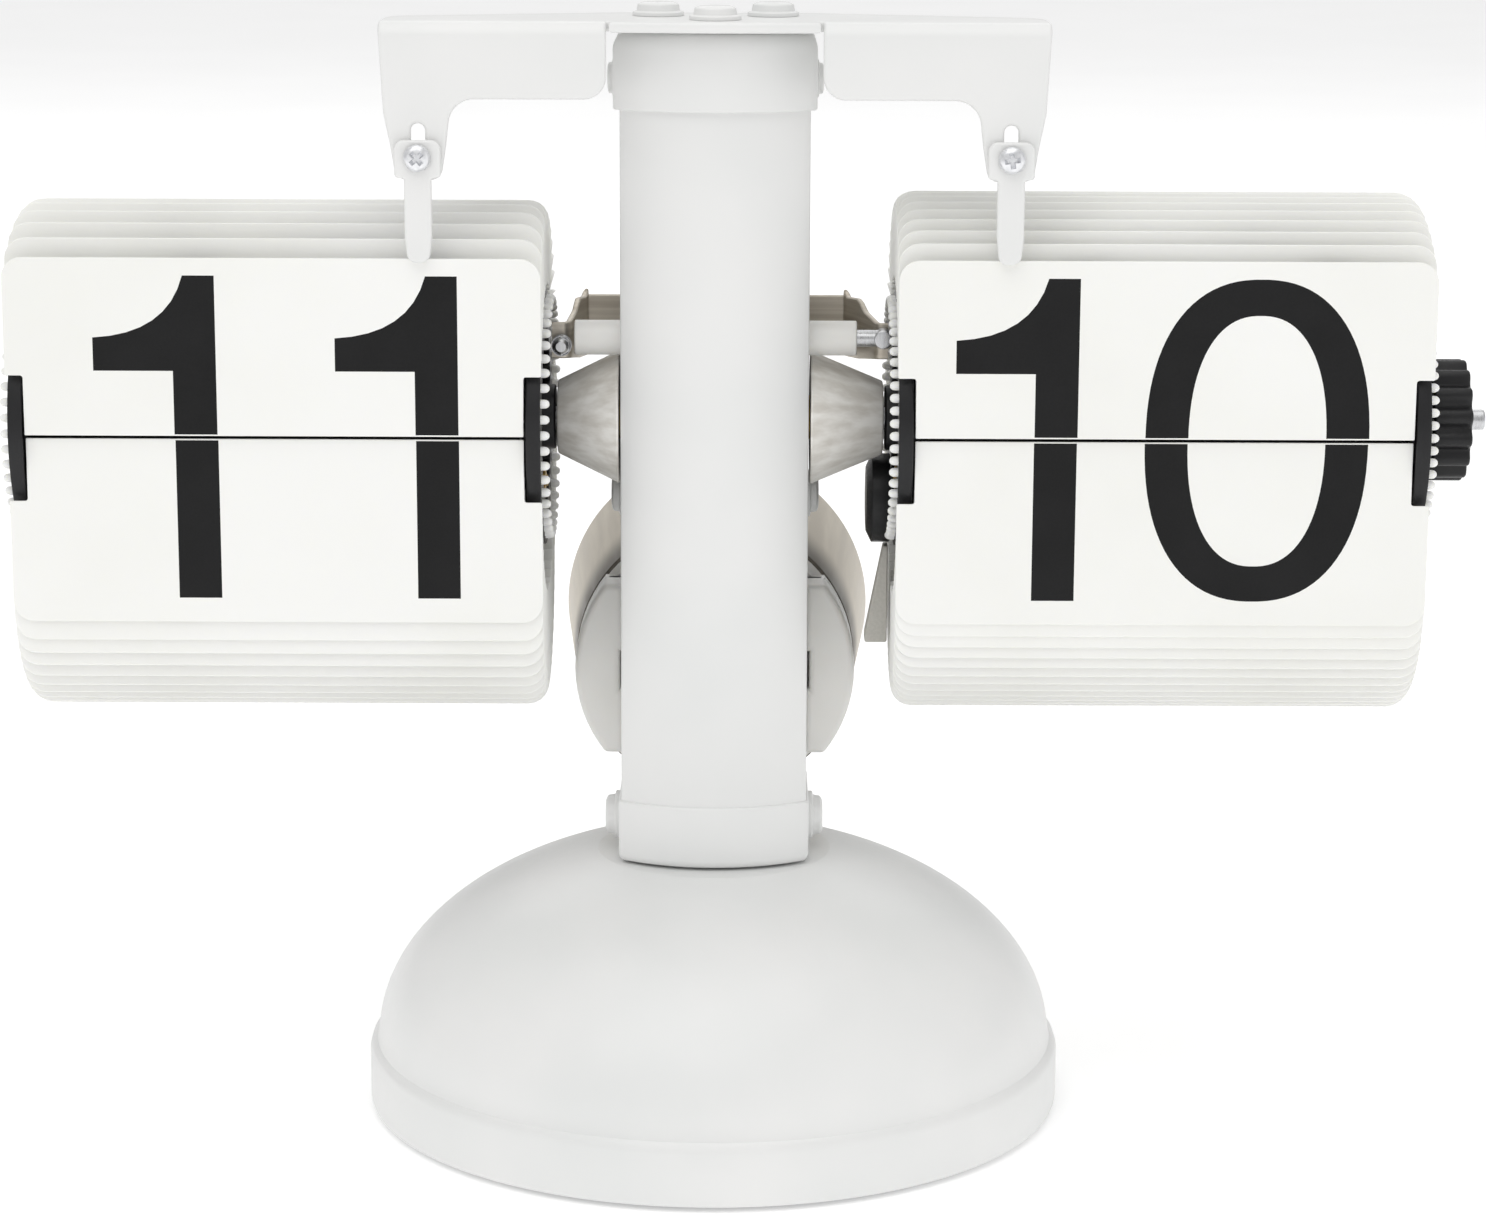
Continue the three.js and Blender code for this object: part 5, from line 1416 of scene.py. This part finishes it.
class FLIPCLOCK_OT_drums(bpy.types.Operator):
    """Drum discs with hinge pins, tubes, axles and knob"""

    bl_idname = "flipclock.drums"
    bl_label = "Drums"

    def execute(self, context):
        sizes = context.scene.flip_clock_sizes
        black = finish(black_moulding)
        for label, side in SIDES.items():
            centre = display_centre(label)
            axis = centre.z
            teeth = 48 if label == "hour" else 50
            low, high = box(f"{label}_ring_gear")
            phase = radians(-73.7) + pi / teeth
            radius = (high.y - low.y) / 2
            gear_hole = ring_gear_outline(teeth, phase)
            ring = self.stepped_disc(low.x, high.x, side, radius, [gear_hole])
            bmesh.ops.translate(ring, verts=ring.verts, vec=(0, 0, axis))
            stand_for(f"{label}_toothed_disc", ring, black, f"{label}_ring_gear")
            low, high = box(f"{label}_outer_disc")
            windows = [
                rounded([(6.5 * cos(t), 6.5 * sin(t), 0.8),
                         (12.5 * cos(t - 0.32), 12.5 * sin(t - 0.32), 1.2),
                         (13.2 * cos(t), 13.2 * sin(t), 6),
                         (12.5 * cos(t + 0.32), 12.5 * sin(t + 0.32), 1.2)], step=15)
                for t in [2 * pi * k / 6 for k in range(6)]
            ]
            disc = self.stepped_disc(low.x, high.x, -side, radius,
                                     [circle(1.75, 32), *windows])
            inner = low.x if side > 0 else high.x
            hub = turned([(inner - side * 0.2, 1.75), (inner - side * 0.2, 3.6, 0.3),
                          (inner + side * 3.4, 3.2, 0.3), (inner + side * 3.4, 1.75)],
                         "X", 48, closed=True)
            bmesh.ops.translate(disc, verts=disc.verts, vec=(0, 0, axis))
            bmesh.ops.translate(hub, verts=hub.verts, vec=(0, 0, axis))
            stand_for(f"{label}_spoked_disc", together(disc, hub), black,
                      f"{label}_outer_disc")
            low, high = box(f"{label}_drum_tube")
            radius = (high.y - low.y) / 2
            tube = turned([(low.x, radius - 0.8), (low.x, radius, 0.2), (high.x, radius, 0.2),
                           (high.x, radius - 0.8)], "X", 96, (0, 0, axis), closed=True)
            stand_for(f"{label}_core_tube", tube, black, f"{label}_drum_tube")
            self.make_pins(label, side, centre, sizes)
            low, high = box(f"{label}_axle")
            radius = (high.y - low.y) / 2
            axle = turned([(low.x, 0), (low.x, radius, 0.3), (high.x, radius, 0.3),
                           (high.x, 0)], "X", 40, (0, 0, axis))
            stand_for(f"{label}_shaft", axle, finish(plated_steel), f"{label}_axle")
        self.make_knob(sizes)
        return {"FINISHED"}

    def stepped_disc(self, low, high, inwards, radius, holes):
        """A disc whose rim is thinner on the leaves' side, to let their necks past."""
        step = 0.65
        low_rim = low if inwards > 0 else low + step
        high_rim = high - step if inwards > 0 else high
        rim = slab(circle(radius, 144), low_rim, high_rim, 0.2, lay="X",
                   holes=[circle(15.4, 96)])
        core = slab(circle(15.6, 96), low, high, 0.2, holes=holes, lay="X")
        return together(rim, core)

    def make_pins(self, label, side, centre, sizes):
        """Rings of pin ends on both discs of one drum."""
        data = DISPLAYS[label]
        pattern = pattern_object("pin_pattern", pin_end(sizes))
        tree = ring_tree()
        meshes = []
        for node, outwards in ((f"{label}_ring_gear", -side), (f"{label}_outer_disc", side)):
            low, high = box(node)
            face = high.x if outwards > 0 else low.x
            phase = pi - radians(data["phase"])
            mesh = grow(f"{node}_pins", tree, {
                "Count": data["leaves"], "Radius": sizes.pin_circle,
                "First Angle": phase if outwards > 0 else pi - phase, "Copy": pattern,
                "Finish": finish(pin_nylon), "Ink": finish(pin_nylon)})
            turn = Matrix.Identity(4) if outwards > 0 else Matrix.Rotation(pi, 4, "Z")
            place = Matrix.Translation(Vector((face, 0, centre.z)) * MM)
            mesh.transform(place @ turn)
            meshes.append(mesh)
        bm = bmesh.new()
        for mesh in meshes:
            bm.from_mesh(mesh)
        bm.to_mesh(meshes[0])
        bm.free()
        bpy.data.objects.remove(pattern)
        piece = show(f"{label}_hinge_pins", meshes[0], [], f"{label}_ring_gear")

    def make_knob(self, sizes):
        """Fluted setting knob with a domed rim and a shaft hole."""
        low, high = box("set_knob")
        radius = (high.z - low.z) / 2
        ribs = sizes.knob_ribs
        centre = (low + high) / 2
        outline = []
        for k in range(ribs * 12):
            angle = 2 * pi * k / (ribs * 12)
            wave = (1 - cos(ribs * angle)) / 2
            reach = radius - 1.0 * wave**1.6
            outline.append((centre.y + reach * cos(angle), centre.z + reach * sin(angle)))
        body = slab(outline, low.x, high.x, 0.45, holes=[circle(2.2, 32, (centre.y, centre.z))],
                    lay="X", steps=4)
        collar = turned([(low.x + 0.4, 1.5), (low.x + 0.4, 2.7), (high.x - 0.6, 2.7, 0.2),
                         (high.x - 0.6, 1.5, 0.1)], "X", 40, (0, centre.y, centre.z),
                        closed=True)
        stand_for("fluted_knob", together(body, collar), finish(black_moulding), "set_knob")


class FLIPCLOCK_OT_drive(bpy.types.Operator):
    """Sleeves, bushes, gear cases, pinions, motor housing and guide plate"""

    bl_idname = "flipclock.drive"
    bl_label = "Drive"

    def execute(self, context):
        for label, side in SIDES.items():
            axis = display_centre(label).z
            low, high = box(f"{label}_axle_sleeve")
            near, far = (low.x, high.x) if side > 0 else (high.x, low.x)
            cone = turned([
                (near, 4.0), (near, 9.3, 0.2), (far, 5.1, 0.4), (far, 3.5, 0.2)],
                "X", 128, (0, 0, axis), closed=True)
            stand_for(f"{label}_turned_sleeve", cone, finish(turned_steel),
                      f"{label}_axle_sleeve")
            coat_cad_node(f"{label}_bush", turned_brass)
            name = "minute_movement" if label == "minute" else "hour_gearbox"
            low, high = box(name)
            near, far = (low.x, high.x) if side > 0 else (high.x, low.x)
            start = box(f"{label}_drum_tube")[0 if side > 0 else 1].x
            case = turned([
                (near, 1.8), (near, 4.5, 0.3), (start + side * 0.1, 4.5, 0.4),
                (start + side * 0.1, 12.0, 0.5), (far, 12.0, 0.5), (far, 1.8)],
                "X", 80, (0, 0, axis), closed=True)
            stand_for(f"{name}_case", case, finish(black_moulding), name)
            coat_cad_node("motor_pinion" if label == "minute" else "hour_pinion", turned_brass)
        low, high = box("motor_housing")
        radius = (high.z - low.z) / 2
        middle = (low + high) / 2
        housing = turned([
            (low.x, 0), (low.x, radius - 1.7, 0.15), (low.x + 0.8, radius, 0.15),
            (high.x, radius, 0.15), (high.x, 0)], "X", 12, (0, middle.y, middle.z), step=30)
        stand_for("motor_cover", housing, finish(black_moulding), "motor_housing")
        low, high = box("guide_plate")
        outline = rounded([
            (low.x, low.z, 0.3), (high.x, low.z, 0.3), (high.x, high.z, 0.2),
            (low.x + 2.5, high.z, 0.2), (low.x, low.z + 1.2, 0.3)], step=20)
        plate = slab(outline, low.y, high.y, 0.2, lay="Y")
        stand_for("guide_rib", plate, finish(cream_moulding), "guide_plate")
        return {"FINISHED"}


class FLIPCLOCK_OT_rear_support(bpy.types.Operator):
    """Spacer, tie rod, nut and the saddle bracket behind the column"""

    bl_idname = "flipclock.rear_support"
    bl_label = "Rear support"

    def execute(self, context):
        low, high = box("spacer_tube")
        middle = (low + high) / 2
        radius = (high.z - low.z) / 2
        tube = turned([(low.x, 1.6), (low.x, radius, 0.25), (high.x, radius, 0.25),
                       (high.x, 1.6, 0.2)], "X", 64, (0, middle.y, middle.z), closed=True)
        stand_for("white_spacer", tube, finish(moulded_white), "spacer_tube")
        low, high = box("tie_rod")
        rod = turned([(low.x, 0), (low.x, 1.15, 0.3), (high.x - 0.6, 1.15, 0.2),
                      (high.x - 0.6, 0)], "X", 40, (0, middle.y, middle.z))
        eye = turned([(low.y, 0), (low.y, 1.3, 0.25), (high.y, 1.3, 0.25), (high.y, 0)],
                     "Y", 40, (high.x - 1.3, 0, middle.z))
        stand_for("tie_rod_with_eye", together(rod, eye), finish(plated_steel), "tie_rod")
        self.make_nut()
        self.make_saddle()
        return {"FINISHED"}

    def make_nut(self):
        low, high = box("bracket_nut")
        middle = (low + high) / 2
        across = (high.x - low.x) / 2
        hexagon = [(middle.x + across * cos(k * pi / 3 + pi / 6),
                    middle.z + across * sin(k * pi / 3 + pi / 6), 0.12) for k in range(6)]
        nut = slab(rounded(hexagon, step=30), low.y, high.y, 0.18,
                   holes=[circle(1.15, 32, (middle.x, middle.z))], lay="Y")
        stand_for("hex_nut", nut, finish(plated_steel), "bracket_nut")
        low, high = box("bracket_stud")
        threads = [(low.y, 0), (low.y, 0.7), (low.y + 0.3, 1.02)]
        turns = int((high.y - low.y - 0.5) / 0.45)
        for k in range(turns):
            start = low.y + 0.35 + 0.45 * k
            threads += [(start, 0.84), (start + 0.2, 1.05)]
        threads += [(high.y, 1.0), (high.y, 0)]
        stud = turned(threads, "Y", 40, (middle.x, 0, middle.z))
        stand_for("threaded_stud", stud, finish(plated_steel), "bracket_stud")

    def make_saddle(self):
        """Bent strip: a back plate, two splayed wings and two front tabs."""
        low, high = box("saddle_bracket")
        sheet, half_width = 0.8, 18.3
        front, back = low.y + sheet / 2, high.y - sheet / 2
        path = rounded([
            (low.x, front), (-half_width - 2, front, 0.9), (-half_width, back, 0.6),
            (half_width, back, 0.6), (half_width + 4.2, front, 0.9), (high.x, front),
        ], closed=False, step=12)
        shares, edge_line = (0, 0.07, 0.45, 0.62, 1), (0.8, -0.1, 0.2, -1.2, -2.3)
        bottom_line = (0, 0, 0.3, 0.6, 1.2)
        plate_top = high.z - 0.9
        lines = []
        for index, (x, y) in enumerate(self.finely(path)):
            share = (back - 0.1 - y) / (back - front - 0.2)
            rise = self.profile(share, shares, edge_line) if share > 0 else 0
            drop = self.profile(share, shares, bottom_line)
            lines.append((Vector((x, y)), plate_top + rise, low.z + drop))
        faces = []
        for index, (point, top, bottom) in enumerate(lines):
            before = lines[max(index - 1, 0)][0]
            after = lines[min(index + 1, len(lines) - 1)][0]
            along = (after - before).normalized()
            across = Vector((-along.y, along.x)) * sheet / 2
            faces.append((point - across, point + across, top, bottom))
        bm = bmesh.new()
        bm.faces.layers.int.new("ink")
        rings = []
        for outer, inner, top, bottom in faces:
            soft = 0.15
            a, b = outer.lerp(inner, soft / sheet), inner.lerp(outer, soft / sheet)
            ring = [(outer, bottom + soft), (outer, top - soft), (a, top), (b, top),
                    (inner, top - soft), (inner, bottom + soft), (b, bottom), (a, bottom)]
            rings.append([bm.verts.new((p.x, p.y, z)) for p, z in ring])
        for ring, following in zip(rings, rings[1:]):
            for k in range(8):
                bm.faces.new((ring[k - 1], ring[k], following[k], following[k - 1]))
        bm.faces.new(rings[0])
        bm.faces.new(list(reversed(rings[-1])))
        stand_for("saddle_strip", bm, finish(sheet_steel), "saddle_bracket")

    def finely(self, path):
        """The same path with a point at least every millimetre."""
        fine = [path[0]]
        for start, end in zip(path, path[1:]):
            count = max(1, math.ceil(math.dist(start, end)))
            fine += [tuple(Vector(start).lerp(Vector(end), k / count))
                     for k in range(1, count + 1)]
        return fine

    def profile(self, share, shares, heights):
        """A height between the given ones, in straight steps."""
        share = min(max(share, shares[0]), shares[-1])
        for low, high, start, end in zip(shares, shares[1:], heights, heights[1:]):
            if share <= high:
                return start + (end - start) * (share - low) / (high - low)
        return heights[-1]


class FLIPCLOCK_OT_battery(bpy.types.Operator):
    """Battery holder, steel sleeve, cell, spring and cap"""

    bl_idname = "flipclock.battery"
    bl_label = "Battery"

    def execute(self, context):
        self.make_holder()
        low, high = box("battery_sleeve")
        middle = (low + high) / 2
        wide, narrow = (high.z - low.z) / 2, 20.0
        sleeve = turned([
            (low.y, narrow - 0.5), (low.y, narrow, 0.2), (high.y - 0.6, wide - 0.05, 0.3),
            (high.y, wide, 0.2), (high.y, wide - 0.6, 0.2), (high.y - 0.6, wide - 0.6)],
            "Y", 160, (0, 0, middle.z), closed=True)
        stand_for("steel_sleeve", sleeve, finish(brushed_steel), "battery_sleeve")
        coat_cad_node("battery_contact", turned_brass)
        coat_cad_node("battery_spring", plated_steel)
        self.make_cell(middle.z)
        self.make_cap(middle.z)
        return {"FINISHED"}

    def make_holder(self):
        """White cheeks on both sides of the column and the liner behind it."""
        low, high = box("battery_holder")
        middle = (low + high) / 2
        radius, flat = high.x, 12.3
        back = box("column")[1].y
        start = degrees(math.asin(flat / radius))
        cheeks = []
        for side in (-1, 1):
            inner = 12.96
            rim = arc((0, 0), (radius, radius), -start, start, 5)
            corners = [(inner, -flat), (*rim[0], 1.0), *rim[1:-1], (*rim[-1], 1.0),
                       (inner, flat), (inner, 2.6), (inner + 0.5, 2.6),
                       (inner + 0.5, -2.9), (inner, -2.9)]
            outline = [(side * x, middle.z + z) for x, z in rounded(corners, step=15)]
            cheeks.append(slab(outline, low.y, back + 2.6, 0.9, lay="Y", steps=5))
        disc = [(x, middle.z + z) for x, z in
                arc((0, 0), (radius, radius), -start, start, 5)
                + arc((0, 0), (radius, radius), 180 - start, 180 + start, 5)]
        plate = slab(disc, back + 0.3, back + 3.5, 0.5, lay="Y")
        liner = turned([
            (back + 1.6, 0), (back + 1.6, 18.6), (back + 2.9, 19.8, 0.5), (back + 3.4, 19.2),
            (high.y, 19.2, 0.4), (high.y, 13.6, 0.4), (back + 4.2, 13.6), (back + 4.2, 0)],
            "Y", 96, (0, 0, middle.z))
        stand_for("holder_moulding", together(*cheeks, plate, liner), finish(moulded_white),
                  "battery_holder")

    def make_cell(self, height):
        low, high = box("battery_cell")
        radius = (high.x - low.x) / 2
        cell = turned([
            (low.y, 0), (low.y, 3.5, 0.4), (low.y + 1.5, 3.6, 0.3), (low.y + 1.5, radius - 1.2),
            (low.y + 1.2, radius - 0.9, 0.2), (low.y + 1.5, radius, 0.5), (high.y, radius, 0.6),
            (high.y, radius - 1.4, 0.2), (high.y - 0.4, radius - 1.8, 0.2), (high.y - 0.4, 0)],
            "Y", 96, (0, 0, height))
        mesh = to_mesh("round_cell", cell)
        bare = finish(plated_steel)
        for made in (finish(shrink_sleeve), bare):
            mesh.materials.append(made)
        for face in mesh.polygons:
            spoke = math.hypot(face.center.x, face.center.z - height * MM)
            face.material_index = 1 if spoke < (radius - 1.3) * MM else 0
        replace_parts(show("round_cell", mesh, [], "battery_cell"), "battery_cell")

    def make_cap(self, height):
        """Pull-off cap with a recessed end."""
        low, high = box("battery_cap")
        radius = (high.x - low.x) / 2
        floor = high.y
        inner = 13.6
        cap = turned([
            (low.y, 18.4, 0.3), (low.y, 19.3, 0.3), (low.y + 3.0, 20.6, 0.2),
            (low.y + 3.0, radius, 0.3), (low.y + 5.2, radius, 0.8),
            (floor - 2.2, inner + 2.9, 1.6), (floor, inner + 0.6, 1.2), (floor, 9.0, 0.5),
            (floor - 0.8, 8.2, 0.5), (floor - 0.8, 0)],
            "Y", 128, (0, 0, height))
        stand_for("battery_end_cap", cap, finish(moulded_white), "battery_cap")


STEPS = (
    FLIPCLOCK_OT_stage,
    FLIPCLOCK_OT_base,
    FLIPCLOCK_OT_column,
    FLIPCLOCK_OT_arm,
    FLIPCLOCK_OT_fingers,
    FLIPCLOCK_OT_rivets,
    FLIPCLOCK_OT_leaves,
    FLIPCLOCK_OT_drums,
    FLIPCLOCK_OT_drive,
    FLIPCLOCK_OT_rear_support,
    FLIPCLOCK_OT_battery,
)


class FLIPCLOCK_PT_pieces(bpy.types.Panel):
    """Lists the clock's pieces"""

    bl_idname = "FLIPCLOCK_PT_pieces"
    bl_label = "Flip Clock"
    bl_space_type = "VIEW_3D"
    bl_region_type = "UI"
    bl_category = "Flip Clock"

    def draw(self, context):
        for settings in (context.scene.flip_clock_sizes, context.scene.flip_clock_colours):
            for name in settings.__annotations__:
                self.layout.prop(settings, name)
        for step in STEPS:
            self.layout.operator(step.bl_idname)


CLASSES = (FlipClockSizes, FlipClockColours, *STEPS, FLIPCLOCK_PT_pieces)


def register():
    for item in CLASSES:
        bpy.utils.register_class(item)
    bpy.types.Scene.flip_clock_sizes = PointerProperty(type=FlipClockSizes)
    bpy.types.Scene.flip_clock_colours = PointerProperty(type=FlipClockColours)


def unregister():
    del bpy.types.Scene.flip_clock_colours
    del bpy.types.Scene.flip_clock_sizes
    for item in reversed(CLASSES):
        bpy.utils.unregister_class(item)


def main():
    register()
    for step in STEPS:
        group, action = step.bl_idname.split(".")
        getattr(getattr(bpy.ops, group), action)()


if __name__ == "__main__":
    main()
